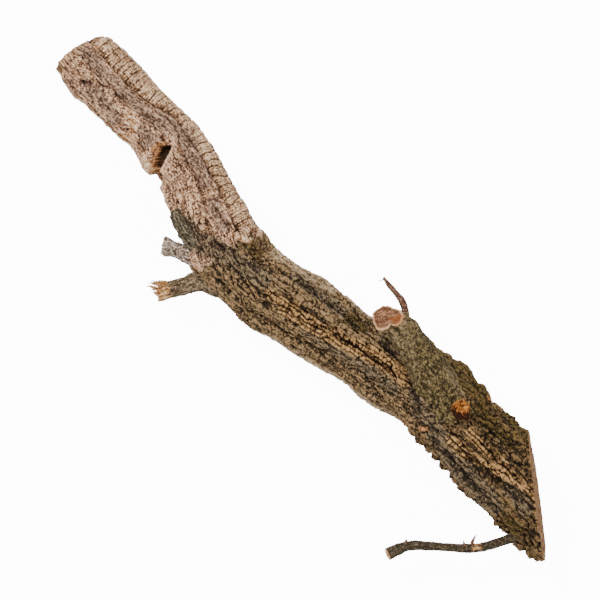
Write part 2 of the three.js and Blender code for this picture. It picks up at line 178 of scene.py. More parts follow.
# Where the bark has a look of its own, and where shadow is painted, in plan: for each look, lines with the
# reach to both sides of them.
PATCHES = {
    "mauve": [
        (6.0, [(-152, 176), (-140, 162), (-126, 148), (-108, 132)]),
        (7.5, [(-108, 132), (-97, 126), (-83, 119), (-72, 97), (-67, 86)]),
        (6.5, [(-113, 120), (-107, 114)]),
        (6.0, [(-61, 68), (-54, 53)]),
        (5.0, [(-152, 152), (-140, 143), (-130, 130)]),
    ],
    "fresh": [
        (4.5, [(-122, 133), (-117.5, 126), (-119, 117)]),
        (3.5, [(-128, 119), (-122, 113)]),
        (1.8, [(-109.5, 103), (-105.5, 93.5)]),
        (2.4, [(-45, 45), (-37, 41.5)]),
    ],
    "rust": [
        (1.9, [(86, -90.5), (89.5, -91.5)]),
        (1.9, [(135, -67.5), (138.5, -70.5)]),
        (2.0, [(164, -104), (167, -118)]),
        (1.6, [(-104.5, 107), (-100, 111)]),
        (1.8, [(-128, 119), (-124, 116)]),
    ],
    "golden": [
        (3.6, [(-22, 4), (-12, -1)]),
        (6.5, [(-10, -5), (11, -19), (27, -27.5), (45, -36), (65, -46), (75, -56)]),
        (4.2, [(107, -98.5), (117, -109), (132.5, -117.5), (148, -124), (166, -137)]),
        (3.6, [(119, -92), (128, -104), (137, -109.5), (148, -119.5)]),
    ],
    "tan": [
        (6.0, [(-18, 32), (-7, 27.5), (8, 17.5)]),
        (4.5, [(8, 17.5), (22, 6)]),
    ],
    # Dark grey-brown strips of old bark, and painted shadow on three of the lines below.
    "dusk": [
        (9.0, [(-76, 45), (-60, 37), (-46, 28), (-27, 14.5)]),
        (6.0, [(5, -22), (22, -32), (36, -40), (66, -64)]),
        (9.0, [(86, -78), (101, -101), (119, -126), (137, -144)]),
        # Painted shadow at the lower right of the thick end.
        (7.0, [(148, -132), (158, -146)]),
        # Darker round the grey stub's base: a dark film and painted shadow.
        (8.0, [(-80, 54), (-70, 40)]),
        # Painted shadow in the crotch on the left of the side limb.
        (5.5, [(60, -28), (70, -41), (79, -57), (83, -72)]),
        (5.0, [(-4, 16), (14, 3), (30, -10)]),
    ],
    "moss": [
        (11.0, [(100, -48), (118, -58), (132, -69)]),
        (8.0, [(88, -36), (94, -40)]),
        (6.0, [(124, -78), (136, -88), (150, -101)]),
        (7.0, [(36, -14), (44, -18)]),
        (8.0, [(152, -84), (158, -94)]),
        (7.0, [(148, -158), (154, -163)]),
        (5.0, [(-36, 38), (-30, 34)]),
    ],
}


def tone(red, green, blue):
    """A colour given in 0..255 screen values, as linear red, green and blue."""
    shares = [value / 255 for value in (red, green, blue)]
    return tuple(((v + 0.055) / 1.055) ** 2.4 if v > 0.04 else v / 12.92 for v in shares)


# Arrays of points and noise.

def smoothstep(low, high, x):
    """From 0 to 1 while x goes from low to high, easing in and out."""
    t = np.clip((x - low) / (high - low), 0.0, 1.0)
    return t * t * (3 - 2 * t)


def bell(x, width):
    """One at nought, falling off to both sides as a bell curve of that half-width."""
    return np.exp(-((x / width) ** 2))


def unit(v):
    """Vectors brought to length one."""
    return v / np.linalg.norm(v, axis=-1, keepdims=True)


def lattice_value(x, y, z, seed):
    """Whole numbers turned into values spread evenly over 0..1, by multiplying and folding their bits."""
    mask = 0xFFFFFFFF
    h = (x * 374761393 + y * 668265263 + z * 1440662683 + seed * 974634777) & mask
    h = ((h ^ (h >> 13)) * 1274126177) & mask
    h = ((h ^ (h >> 15)) * 668265263) & mask
    return (h ^ (h >> 16)) / mask


def grain(p, seed):
    """Smooth noise from -1 to 1: random values at whole-numbered points, blended between the eight round p."""
    home = np.floor(p).astype(np.int64)
    part = p - home
    part = part * part * (3 - 2 * part)
    total = np.zeros(p.shape[:-1])
    for corner in itertools.product((0, 1), repeat=3):
        weight = np.prod(np.where(np.array(corner) == 1, part, 1 - part), axis=-1)
        x, y, z = (home[..., i] + corner[i] for i in range(3))
        total += weight * lattice_value(x, y, z, seed)
    return 2 * total - 1


def layered_grain(p, seed, layers=3):
    """Smooth noise summed over layers, each twice as fine and half as strong as the one before."""
    return sum(grain(p * 2.0**i + 7.3 * i, seed + i) * 0.5**i for i in range(layers))


def cracked_cells(p, seed, spread=0.9):
    """Cells round points scattered one to each unit cube.

    Returns the gap between the distances to the two nearest points (nought on a crack between cells), a
    random value for each cell, and a tilt: how far p lies from its cell's point along the cell's own random
    direction, which turns each cell into a slanting chip.
    """
    home = np.floor(p).astype(np.int64)
    nearest = np.full(p.shape[:-1], 9.0)
    second = nearest.copy()
    mark, tilt = np.zeros(p.shape[:-1]), np.zeros(p.shape[:-1])
    for step in itertools.product((-1, 0, 1), repeat=3):
        x, y, z = (home[..., i] + step[i] for i in range(3))
        draws = [lattice_value(x, y, z, seed + i) for i in range(3)]
        away = [p[..., i] - (c + 0.5 + spread * (draws[i] - 0.5)) for i, c in enumerate((x, y, z))]
        reach = (away[0] ** 2 + away[1] ** 2 + away[2] ** 2) ** 0.5
        closer = reach < nearest
        second = np.where(closer, nearest, np.minimum(second, reach))
        mark = np.where(closer, (draws[0] * 7.31 + draws[1] * 3.17) % 1, mark)
        leans = [(draws[i] * 13.7 + draws[i - 1] * 5.3) % 1 * 2 - 1 for i in range(3)]
        tilt = np.where(closer, away[0] * leans[0] + away[1] * leans[1] + away[2] * leans[2], tilt)
        nearest = np.minimum(nearest, reach)
    return second - nearest, mark, tilt


def bricks(row_place, along, length, seed, turn=0):
    """Rows of bricks: row_place counts rows, along is the distance along them, turn the rows in a ring.

    Returns how far a point lies from its row's edge, as a share of a row, and from its brick's end, as a
    share of the brick, with a random value for each brick.
    """
    row = np.floor(row_place).astype(np.int64)
    number = row % turn if turn else row
    stretch = length * (0.7 + 0.6 * lattice_value(number, 3, 5, seed))
    place = along / stretch + 9 * lattice_value(number, 0, 1, seed)
    brick = np.floor(place).astype(np.int64)
    value = lattice_value(number, brick, 7, seed)
    across, forward = row_place - row, place - brick
    return np.minimum(across, 1 - across), np.minimum(forward, 1 - forward), value

def chip_relief(p, seed, lift, lean, crack=0.0, width=0.1):
    """The height of slanting chips: each lifted at random and tilted, with a crack of that depth round it."""
    gap, mark, tilt = cracked_cells(p, seed)
    return lift * (mark - 0.5) + lean * tilt - crack * (1 - smoothstep(0, width, gap))


def brick_relief(row_place, along, length, seed, turn, lift, side_groove, end_groove, crown):
    """The height of bricks: each lifted at random and crowned, with a groove along its sides and at its ends.

    A groove is given as its depth and its half-width, which is a share of the row or the brick.
    """
    edge, end, value = bricks(row_place, along, length, seed, turn)
    grooves = side_groove[0] * bell(edge, side_groove[1]) + end_groove[0] * bell(end, end_groove[1])
    return lift * (value - 0.5) - grooves + crown * edge

def box_blur(grid, rows, columns):
    """The mean over a window of rows and, round the ring, of columns, from running sums."""
    padded = np.pad(grid, ((rows, rows), (0, 0)), mode="edge")
    sums = np.cumsum(np.pad(padded, ((1, 0), (0, 0))), axis=0)
    grid = (sums[2 * rows + 1 :] - sums[: -2 * rows - 1]) / (2 * rows + 1)
    padded = np.pad(grid, ((0, 0), (columns, columns)), mode="wrap")
    sums = np.cumsum(np.pad(padded, ((0, 0), (1, 0))), axis=1)
    return (sums[:, 2 * columns + 1 :] - sums[:, : -2 * columns - 1]) / (2 * columns + 1)


def above_mean(grid, window):
    """How far a grid of heights stands above its own mean over a window of rows and columns, taken twice."""
    return grid - box_blur(box_blur(grid, *window), *window)


def plan_distance(xy, line):
    """How far plan points lie from a line of plan points."""
    nearest = np.full(xy.shape[:-1], 1e9)
    for a, b in zip(np.array(line[:-1], float), np.array(line[1:], float)):
        t = np.clip(((xy - a) @ (b - a)) / ((b - a) @ (b - a)), 0, 1)
        nearest = np.minimum(nearest, np.linalg.norm(xy - a - t[..., None] * (b - a), axis=-1))
    return nearest


def patch_mask(xy, name):
    """From 0 to 1: how near plan points lie to the lines of a patch, each fading out as a bell curve."""
    return np.max([bell(plan_distance(xy, line), reach) for reach, line in PATCHES[name]], axis=0)


# Paths and tubes.

class Track:
    """A smooth curve through rows of numbers, read by distance along it.

    The place follows a centripetal Catmull-Rom curve, and any further numbers ease from row to row.
    """

    def __init__(self, rows):
        table = np.array(rows, float)
        self.places, self.extra = table[:, :3], table[:, 3:]
        self.knots = len(table) - 1
        self.fine = np.linspace(0, 1, 601)
        steps = np.linalg.norm(np.diff(self.place(self.fine), axis=0), axis=1)
        self.reached = np.concatenate([[0], np.cumsum(steps)])
        self.length = self.reached[-1]

    def place(self, t):
        """The place at shares of the way from the first row to the last, each row as far as the next."""
        p = self.places
        p = np.vstack([2 * p[0] - p[1], p, 2 * p[-1] - p[-2]])
        cell = np.clip(np.floor(t * self.knots).astype(int), 0, self.knots - 1)
        w = (t * self.knots - cell)[..., None]
        a, b, c, d = (p[cell + i] for i in range(4))
        gap = [np.linalg.norm(q - r, axis=-1, keepdims=True) ** 0.5 for q, r in ((b, a), (c, b), (d, c))]
        into = ((b - a) / gap[0] - (c - a) / (gap[0] + gap[1]) + (c - b) / gap[1]) * gap[1]
        out = ((c - b) / gap[1] - (d - b) / (gap[1] + gap[2]) + (d - c) / gap[2]) * gap[1]
        return b + into * w + (-3 * b + 3 * c - 2 * into - out) * w**2 + (2 * b - 2 * c + into + out) * w**3

    def at(self, distance):
        """Place, direction and further numbers at distances along the curve."""
        t = np.interp(distance, self.reached, self.fine)
        low, high = np.clip(t - 1e-4, 0, 1), np.clip(t + 1e-4, 0, 1)
        cell = np.clip(np.floor(t * self.knots).astype(int), 0, self.knots - 1)
        part = smoothstep(0, 1, t * self.knots - cell)[..., None]
        extra = self.extra[cell] * (1 - part) + self.extra[cell + 1] * part
        return self.place(t), unit(self.place(high) - self.place(low)), extra


def cross_axes(direction):
    """Two directions square to a path: one level, the other upward."""
    side = unit(np.cross(UP, direction))
    return side, unit(np.cross(direction, side))


def plane_gap(points, plane):
    """How far points stand out past a plane, which is a point on it and the way it faces."""
    at, faces = plane
    return (points - np.array(at, float)) @ unit(np.array(faces, float))


def onto_plane(points, plane):
    """Points moved square onto a plane."""
    return points - plane_gap(points, plane)[..., None] * unit(np.array(plane[1], float))


def cap_rings(rim, plane, rings, bump=None):
    """Rings that close a cut: the rim drawn in evenly on the cut's plane, then the middle itself.

    bump gives the height of the wood above the plane from the share of the way out, for a worn or torn face.
    """
    middle = onto_plane(rim.mean(axis=0), plane)
    share = np.linspace(1, 0, rings + 1)[1:-1]
    flat = onto_plane(middle + (rim[None] - middle) * share[:, None, None], plane)
    if bump is not None:
        flat = flat + bump(flat, share[:, None])[..., None] * unit(np.array(plane[1], float))
    return flat, middle, share


def tube_faces(rows, columns):
    """The faces of a closed tube: a fan at its start, quads between its rings and a fan at its end.

    Points are numbered ring by ring, and the two end points come last.
    """
    grid = np.arange(rows * columns).reshape(rows, columns)
    beside = np.roll(grid, -1, axis=1)
    quads = np.stack([grid[:-1], beside[:-1], beside[1:], grid[1:]], axis=-1).reshape(-1, 4)
    start = np.stack([np.full(columns, rows * columns), beside[0], grid[0]], axis=-1)
    end = np.stack([np.full(columns, rows * columns + 1), grid[-1], beside[-1]], axis=-1)
    return start, quads, end


def add_mark(mesh, name, values):
    """A value, or a place, for each point of a mesh, which its material reads."""
    kind, key = ("FLOAT_VECTOR", "vector") if values.ndim == 2 else ("FLOAT", "value")
    mesh.attributes.new(name, kind, "POINT").data.foreach_set(key, values.ravel())


def closed_mesh(name, rings, first, last, marks, materials, finish=None, flow=None, first_rings=0):
    """A closed mesh from rings of points with a single point at each end.

    marks are named grids of one value for each point of the rings; the end points take their ring's mean.
    finish gives each band of faces its material's number. flow is the piece rolled out, for textures that run
    along it: its rows start after first_rings, and the rings of the end faces repeat its first and last row.
    """
    rows, columns = rings.shape[:2]
    points = np.concatenate([rings.reshape(-1, 3), [first, last]]) + PLAN_SHIFT
    start, quads, end = tube_faces(rows, columns)
    corners = np.concatenate([start.ravel(), quads.ravel(), end.ravel()])
    sizes = np.concatenate([np.full(columns, 3), np.full(len(quads), 4), np.full(columns, 3)])

    mesh = bpy.data.meshes.new(name)
    mesh.vertices.add(len(points))
    mesh.vertices.foreach_set("co", (points * MM).ravel())
    mesh.loops.add(len(corners))
    mesh.loops.foreach_set("vertex_index", corners)
    mesh.polygons.add(len(sizes))
    mesh.polygons.foreach_set("loop_start", np.concatenate([[0], np.cumsum(sizes)[:-1]]))
    for material in materials:
        mesh.materials.append(material)
    band = np.zeros(rows + 1, int) if finish is None else np.asarray(finish)
    mesh.polygons.foreach_set("material_index", np.repeat(band, columns))
    mesh.polygons.foreach_set("use_smooth", np.ones(len(sizes), bool))
    mesh.update(calc_edges=True)
    for mark, grid_values in marks.items():
        values = np.asarray(grid_values, float)
        values = np.concatenate([values.ravel(), [values[0].mean(), values[-1].mean()]])
        add_mark(mesh, mark, values)
    if flow is None:
        flow = rings
    else:
        flow = np.concatenate([np.broadcast_to(flow[:1], (first_rings, columns, 3)), flow])
        flow = np.concatenate([flow, np.broadcast_to(flow[-1:], (rows - len(flow), columns, 3))])
    flow = np.concatenate([flow.reshape(-1, 3), [flow[0, 0], flow[-1, 0]]])
    add_mark(mesh, "flow", flow * MM)
    return show(mesh)


def show(mesh):
    """Puts a mesh into the scene as a piece of the branch."""
    mesh.validate()
    piece = bpy.data.objects.new(mesh.name, mesh)
    bpy.context.scene.collection.objects.link(piece)
    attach(piece, BODY)
    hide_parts(NODE)
    return piece


# The limb.

def ridges(along, angle, xy):
    """Rounded crests with sharp valleys along the limb, broken crosswise into plates, as in the solid.

    They fade out in the cross-cracked band.
    """
    phase = (
        RIDGE_COUNT * angle
        + 1.3 * np.sin(along / 41 + 0.7)
        + 0.9 * np.sin(along / 23 + 2 * angle + 1.9)
        + 0.7 * np.sin(3 * angle - along / 31)
    )
    crest = np.abs(np.sin(phase / 2)) ** 0.7
    bend = 1.1 * np.sin(phase + 1) + 0.65 * np.sin(2 * angle + along / 50)
    plate = np.abs(np.sin(math.pi * along / PLATE_LENGTH + bend)) ** 0.5
    height = RIDGE_HEIGHT[0] + (RIDGE_HEIGHT[1] - RIDGE_HEIGHT[0]) * smoothstep(*RIDGES_GROW, along)
    return (1 - 0.8 * right_band(along, xy)) * (height * (crest - 0.65) + PLATE_DEPTH * (plate - 0.75))


def swell(along, angle):
    """The slow unevenness of the limb, as in the solid."""
    return (
        0.9 * np.cos(2 * angle + along / 60)
        + 0.8 * np.cos(3 * angle - along / 47 + 1)
        + 0.6 * np.sin(along / 13 + 2 * angle)
        + 0.5 * np.sin(along / 8 - 3 * angle + 2)
    )


def drawn_relief(xy, facing):
    """Furrows, hollows, the notch and swellings drawn in plan on the upper side, and the bumps underneath."""
    upper = smoothstep(-0.25, 0.3, facing)
    relief = -hollow_depth(xy, facing) - NOTCH_DEPTH * notch_mask(xy, facing)
    for depth, half, line in FURROWS:
        relief -= depth * upper * bell(plan_distance(xy, line), half)
    for bumps, side in ((SWELLINGS, smoothstep(-0.9, 0, facing)), (FEET, smoothstep(0, 0.8, -facing))):
        for x, y, reach, rise in bumps:
            relief += rise * side * bell(np.hypot(xy[..., 0] - x, xy[..., 1] - y), reach)
    return relief


def hollow_depth(xy, facing):
    """How deep the oval hollows reach: their full depth inside, with a steep rounded wall at the oval."""
    total = np.zeros(facing.shape)
    for x, y, long, wide, turn, depth in HOLLOWS:
        c, s = math.cos(math.radians(turn)), math.sin(math.radians(turn))
        u = ((xy[..., 0] - x) * c + (xy[..., 1] - y) * s) / long
        v = ((xy[..., 1] - y) * c - (xy[..., 0] - x) * s) / wide
        total += depth * smoothstep(-0.7, 0, facing) * (1 - smoothstep(0.55, 1.15, np.hypot(u, v)))
    return total


def notch_inside(xy):
    """How far plan points lie within all of the notch's sides, in millimetres; below nought outside it."""
    within = np.full(xy.shape[:-1], 1e9)
    for a, b in zip(np.array(NOTCH), np.roll(NOTCH, -1, axis=0)):
        side = (b - a) / np.linalg.norm(b - a)
        within = np.minimum(within, side[0] * (xy[..., 1] - a[1]) - side[1] * (xy[..., 0] - a[0]))
    return within


def notch_mask(xy, facing):
    """From 0 outside to 1 inside the notch."""
    return smoothstep(-0.3, NOTCH_WALL, notch_inside(xy)) * smoothstep(-0.7, 0, facing)


def notch_wall(xy, facing):
    """From 0 to 1: the torn slope of orange cork on the notch's left and upper sides."""
    within, over = notch_inside(xy), (xy - NOTCH_MIDDLE) @ NOTCH_ACROSS
    ragged = 1.2 * grain(np.stack([xy[..., 0], xy[..., 1], facing], -1) / 2.2, 151)
    ring = smoothstep(-2.6, -1.5, within + ragged) * (1 - smoothstep(0.4, 1.4, within))
    return ring * (1 - smoothstep(-1.0, 1.5, over)) * smoothstep(-0.3, 0.2, facing)


def notch_rim(xy, facing):
    """From 0 to 1: the pale sharp edge on the notch's right side."""
    within, over = notch_inside(xy), (xy - NOTCH_MIDDLE) @ NOTCH_ACROSS
    ring = smoothstep(-1.7, -0.9, within) * (1 - smoothstep(-0.4, 0.5, within))
    return ring * smoothstep(0.5, 2.5, over) * smoothstep(-0.3, 0.2, facing)


def smooth_limb(axis, along, angle):
    """The bare limb: an oval ring round its axis at each distance; returns the place and the way it faces."""
    place, direction, size = axis.at(along)
    side, up = cross_axes(direction)
    c, s = np.cos(angle)[..., None], np.sin(angle)[..., None]
    wide, high = size[..., :1], size[..., 1:2]
    return place + side * wide * c + up * high * s, unit(side * high * c + up * wide * s)


def distance_to_cut(axis, plane, angle, inside, outside):
    """Where each line along the limb meets a cut, by halving the span that holds it."""
    inside, outside = np.full(angle.shape, inside), np.full(angle.shape, outside)
    for _ in range(30):
        middle = (inside + outside) / 2
        within = plane_gap(smooth_limb(axis, middle, angle)[0], plane) < 0
        inside, outside = np.where(within, middle, inside), np.where(within, outside, middle)
    return (inside + outside) / 2


def right_band(along, xy):
    """From 0 to 1: the cross-cracked band on the thin half, on the far side of its long furrow."""
    line = np.array(FURROWS[0][2], float)
    over = xy[..., 1] - np.interp(xy[..., 0], line[:, 0], line[:, 1])
    return smoothstep(-0.5, 2.0, over) * (1 - smoothstep(*COLLAR, along))


def flow_of(along, angle):
    """The limb rolled out on a plain cylinder, in millimetres: textures laid on it run along the limb."""
    turned = angle + 0.22 * np.sin(along / 70)
    return np.stack([along, FLOW_RADIUS * np.cos(turned), FLOW_RADIUS * np.sin(turned)], axis=-1)


def cork_detail(along, angle, xy, facing):
    """The fine relief of the cork in millimetres, from patterns laid along the limb and warped by noise.

    Slanting plates and chips with a crack round each, wavy rows of bricks along the limb, fibres, crumbs, and
    long fissures where a stretched noise crosses nought. The band has bars across it, the golden ridges are
    rows of small cubes, and the thick end's flank has knobs. Depths grow from the thin half to the thick one.
    """
    old = smoothstep(*COLLAR, along)
    deep = smoothstep(*DEEP_CORK, along)
    band = right_band(along, xy)
    flow = flow_of(along, angle)
    bend = np.stack([grain(flow / 9, seed) + 0.5 * grain(flow / 3, seed + 3) for seed in (11, 12, 13)], -1)
    spot = flow + 1.7 * bend
    upper = smoothstep(-0.2, 0.4, facing)
    smooth_places = (patch_mask(xy, "mauve") + patch_mask(xy, "dusk")) * upper + lower_edge(along, facing)
    calm = 1 - 0.35 * np.clip(smooth_places, 0, 1)
    golden = patch_mask(xy, "golden") * upper * smoothstep(-0.55, 0.1, grain(flow / 8, 67))
    wander = 2.4 * grain(flow / 17, 61) + 1.3 * grain(flow / 5, 62) + 0.4 * grain(flow / 2, 63)

    def stretched(length, width):
        return spot / np.array([length, width, width])

    knobbly = old + 1.2 * deep
    lift, lean, crack = 0.7 + 0.3 * knobbly, 0.6 + 0.4 * knobbly, 0.45 + 0.45 * old
    plates = chip_relief(stretched(24.0, 7.5), 21, lift, lean, crack, 0.07)
    gap, mark, _ = cracked_cells(stretched(11.0, 9.0), 25)
    knobs = smoothstep(*KNOBBLY, along) * (1 - smoothstep(0.1, 0.55, facing)) * smoothstep(-0.9, -0.5, facing)
    plates += knobs * (3.2 * smoothstep(0, 0.45, gap) + 2.2 * (mark - 0.5) - 2.8)

    row_place = BRICK_ROWS * angle / TURN + wander / 4.5
    rows = brick_relief(row_place, spot[..., 0], 10, 64, BRICK_ROWS, 0.7, (0.8, 0.09), (0.4, 0.05), 0.8)
    rows *= 0.25 + old * (0.55 + 0.6 * smoothstep(-0.3, 0.5, grain(flow / 19, 65)))
    row_place = CUBE_ROWS * angle / TURN + wander / 3.0
    forward = spot[..., 0] + 1.5 * bend[..., 1]
    cubes = brick_relief(row_place, forward, 3.4, 66, CUBE_ROWS, 1.7, (1.6, 0.13), (1.2, 0.11), 1.1)

    chips = chip_relief(stretched(7.5, 2.6), 31, 0.35 + 0.175 * deep, 0.5 + 0.25 * deep, 0.3, 0.12)
    crumbs = chip_relief(stretched(2.8, 1.4), 51, 0.28, 0.3)
    fibres = 0.9 * (0.5 - np.abs(layered_grain(stretched(14.0, 1.7), 71, 2)))
    split = np.abs(layered_grain(stretched(26.0, 5.5), 35, 2))
    fissures = (0.6 + 1.2 * old) * (1 - smoothstep(0, 0.1, split))

    uneven = 3.0 * grain(np.stack([along / 9, 0 * along, 0 * along], axis=-1), 44)
    straight = along + uneven + 1.8 * grain(flow / 14, 45) + 0.6 * grain(flow / 4, 46)
    edge, _, value = bricks(straight / BAR_STEP, FLOW_RADIUS * angle, 24, 41)
    bars = 0.8 * (value - 0.5) - (0.3 + 1.2 * value) * bell(edge, 0.065) + 0.3 * edge
    bars -= 0.5 * (1 - smoothstep(0, 0.05, np.abs(layered_grain(stretched(3.0, 9.0), 49, 2))))

    rough = calm * ((1 - band) * (plates + rows + fibres - fissures) + (1 - 0.88 * band) * chips)
    return (1 - 0.8 * golden) * rough + band * bars + golden * cubes + (1 - 0.6 * band) * crumbs


def lower_edge(along, facing):
    """From 0 to 1: the paler, calmer bark that shows along the limb's lower left edge past the bend, on the
    sides facing down; its paleness is partly the bark's own tone and partly painted light reflected from
    below.
    """
    stretch = smoothstep(*CALM_EDGE, along) * (1 - smoothstep(*DARK_TONES, along))
    return stretch * (1 - smoothstep(0.1, 0.5, facing))


def limb_part(name, start, end, rows, columns, materials):
    """A length of the limb, between two shares of the way from the thin cut to the mitre.

    Each line along the limb runs from cut to cut. Its points are pushed out of the bare limb by the solid's
    relief and the cork's fine relief, and none goes below the surface that the branch lies on. Where the part
    ends at a saw cut it gets a worn edge and the cut's face, and elsewhere a plain disc inside the limb.
    """
    axis = Track(AXIS)
    turn = np.linspace(0, TURN, columns, endpoint=False)
    angle = turn + 0.22 * np.cos(turn)
    half_way = axis.length / 2
    starts = distance_to_cut(axis, THIN_END, angle, half_way, 0.0)
    ends = distance_to_cut(axis, MITRED_END, angle, half_way, axis.length)
    along = starts + (ends - starts) * np.linspace(start, end, rows)[:, None]
    angle = np.broadcast_to(angle, along.shape)
    spot, outward = smooth_limb(axis, along, angle)
    xy, facing = spot[..., :2], outward[..., 2]

    worn = 1 - smoothstep(0, CUT_BEVEL, np.minimum(along - starts, ends - along))
    form = ridges(along, angle, xy) + swell(along, angle) + drawn_relief(xy, facing)
    detail = cork_detail(along, angle, xy, facing)
    notch, wall, rim = (shape(xy, facing) for shape in (notch_mask, notch_wall, notch_rim))
    lip = 0.9 * bell(plan_distance(xy, FURROWS[0][2]) - 3.0, 1.2) * smoothstep(0, 0.4, facing)
    relief = form + detail * (1 - 0.3 * notch) + lip - BEVEL_DEPTH * worn - 1.6 * wall + 0.6 * rim
    points = spot + outward * relief[..., None]
    for plane in (THIN_END, MITRED_END, WORN_TIP):
        past = np.maximum(plane_gap(points, plane), 0)
        points -= past[..., None] * unit(np.array(plane[1], float))
    if start == 0:
        points[0] = onto_plane(points[0], THIN_END)
    if end == 1:
        points[-1] = onto_plane(points[-1], MITRED_END)
    points[..., 2] = np.maximum(points[..., 2], 0)

    steps = (along[-1, 0] - along[0, 0]) / rows, LIMB_GIRTH / columns
    sharp, slope, broad = (
        above_mean(grid, [max(1, round(reach / step)) for step in steps])
        for grid, reach in ((detail, 1.2), (form + NOTCH_DEPTH * notch + detail, 3.0), (form, 9.0))
    )
    upper = smoothstep(-0.2, 0.3, facing)
    round_limb = np.stack([along, FLOW_RADIUS * np.cos(angle), FLOW_RADIUS * np.sin(angle)], axis=-1)
    marks = {
        # High on crests and low in cracks: the palettes paint shade in the cracks and a highlight on the
        # crests from it.
        "crest": 0.5 + 0.5 * np.tanh(1.1 * sharp + 0.3 * slope + 0.2 * broad - 0.04),
        "age": smoothstep(*COLLAR, along + 5 * grain(round_limb / 7, 71)),
        "deep": smoothstep(*DARK_TONES, along),
        "band": right_band(along, xy),
        "edge": lower_edge(along, facing),
        "notch": smoothstep(0.2, 1.6, notch_inside(xy)) * upper,
        "notch_wall": wall,
        "notch_rim": rim,
        "worn": worn,
        "ring": np.ones(along.shape),
        **{patch: patch_mask(xy, patch) * upper for patch in PATCHES},
    }

    caps = []
    for row, plane, sawn, count in ((0, THIN_END, start == 0, 24), (-1, MITRED_END, end == 1, 40)):
        cut = (plane, count, sawn_grain) if sawn else (butt_plane(points[row]), 2)
        caps.append(cap_rings(points[row], *cut))
    (before, first, first_share), (after, last, last_share) = caps
    for mark, values in marks.items():
        outer = (first_share[:, None], last_share[:, None]) if mark == "ring" else (values[0], values[-1])
        front, back = (np.broadcast_to(v, part.shape[:2]) for v, part in zip(outer, (before, after)))
        marks[mark] = np.concatenate([front[::-1], values, back])
    rings = np.concatenate([before[::-1], points, after])
    finish = np.zeros(len(rings) + 1, int)
    finish[: len(before) + 1] = 1
    finish[len(rings) - len(after) :] = 1
    return closed_mesh(name, rings, first, last, marks, materials, finish, flow_of(along, angle), len(before))


def butt_plane(ring):
    """The plane through a ring's middle that a part's hidden end lies on."""
    middle = ring.mean(axis=0)
    around = np.roll(ring, -1, axis=0) - ring
    return middle, unit(np.cross(ring - middle, around).sum(axis=0))


def sawn_grain(points, share):
    """The height of a sawn face: faint saw lines across it and pores, fading out at the rim and middle."""
    lines = np.sin(points[..., 1] * 1.9 + points[..., 2] * 2.3 + 1.5 * grain(points / 6, 81))
    fade = smoothstep(1.0, 0.93, share) * smoothstep(0, 0.1, share)
    return (0.12 * lines + 0.2 * grain(points / 1.6, 82)) * fade


# Side limb, stubs and twigs.

def stem(name, detail, materials, seed, rings=10, bump=None, lobe=0.0, torn=None):
    """A side limb, stub or twig: rings round its own path, cut to face a given way.

    detail gives the fine relief in millimetres from the place on the stem rolled out, the share of the way
    along and the angle. bump is the relief of the cut's face, with that many rings. lobe is the angle that the
    lobe mark points to. torn tells from the share and the angle where the bark is torn off.
    """
    path, faces, rows, columns, unevenness, coarse = STEMS[name]
    track = Track(path)
    share = np.linspace(0, 1, rows)[:, None]
    angle = np.broadcast_to(np.linspace(0, TURN, columns, endpoint=False), (rows, columns))
    distance = np.broadcast_to(share * track.length, angle.shape)
    place, direction, size = track.at(distance)
    side, up = cross_axes(direction)
    step = share * coarse
    wave = unevenness * (np.sin(3 * angle + step * 0.5) + np.sin(5 * angle - step * 0.9 + 1) * 0.7)
    radius = size[..., 0]
    rolled_out = np.stack([distance, radius * np.cos(angle), radius * np.sin(angle)], -1)
    fine = detail(rolled_out + 53.0 * seed, share, angle)
    reach = (radius + wave + fine)[..., None]
    points = place + side * reach * np.cos(angle)[..., None] + up * reach * np.sin(angle)[..., None]

    plane = (path[-1][:3], faces)
    slide = plane_gap(points, plane) / (direction @ unit(np.array(faces, float)))
    points = points - direction * (slide[-1:] * smoothstep(0.8, 1.0, share))[..., None]
    points[-1] = onto_plane(points[-1], plane)

    cavity = above_mean(fine, (max(2, rows // 60), max(2, columns // 40)))
    after, last, ring_share = cap_rings(points[-1], plane, rings, bump)
    whole = np.concatenate([points, after])
    around = np.broadcast_to(angle[:1], whole.shape[:2])
    bare = np.zeros(angle.shape) if torn is None else torn(share, angle)
    marks = {
        # High on raised places and low in cracks: the palettes paint shade and highlight from it.
        "crest": 0.5 + 0.5 * np.tanh(np.concatenate([2.2 * cavity, 0.9 * plane_gap(after, plane)])),
        "share": np.concatenate([np.broadcast_to(share, angle.shape), np.ones(after.shape[:2])]),
        "ring": np.concatenate([np.ones(angle.shape), np.broadcast_to(ring_share[:, None], after.shape[:2])]),
        "lobe": 0.5 + 0.5 * np.cos(around - lobe),
        "torn": np.concatenate([bare, np.ones(after.shape[:2])]),
    }
    finish = np.zeros(len(whole) + 1, int)
    finish[len(whole) - len(after) :] = len(materials) - 1
    return closed_mesh(name, whole, place[0, 0], last, marks, materials, finish, rolled_out)


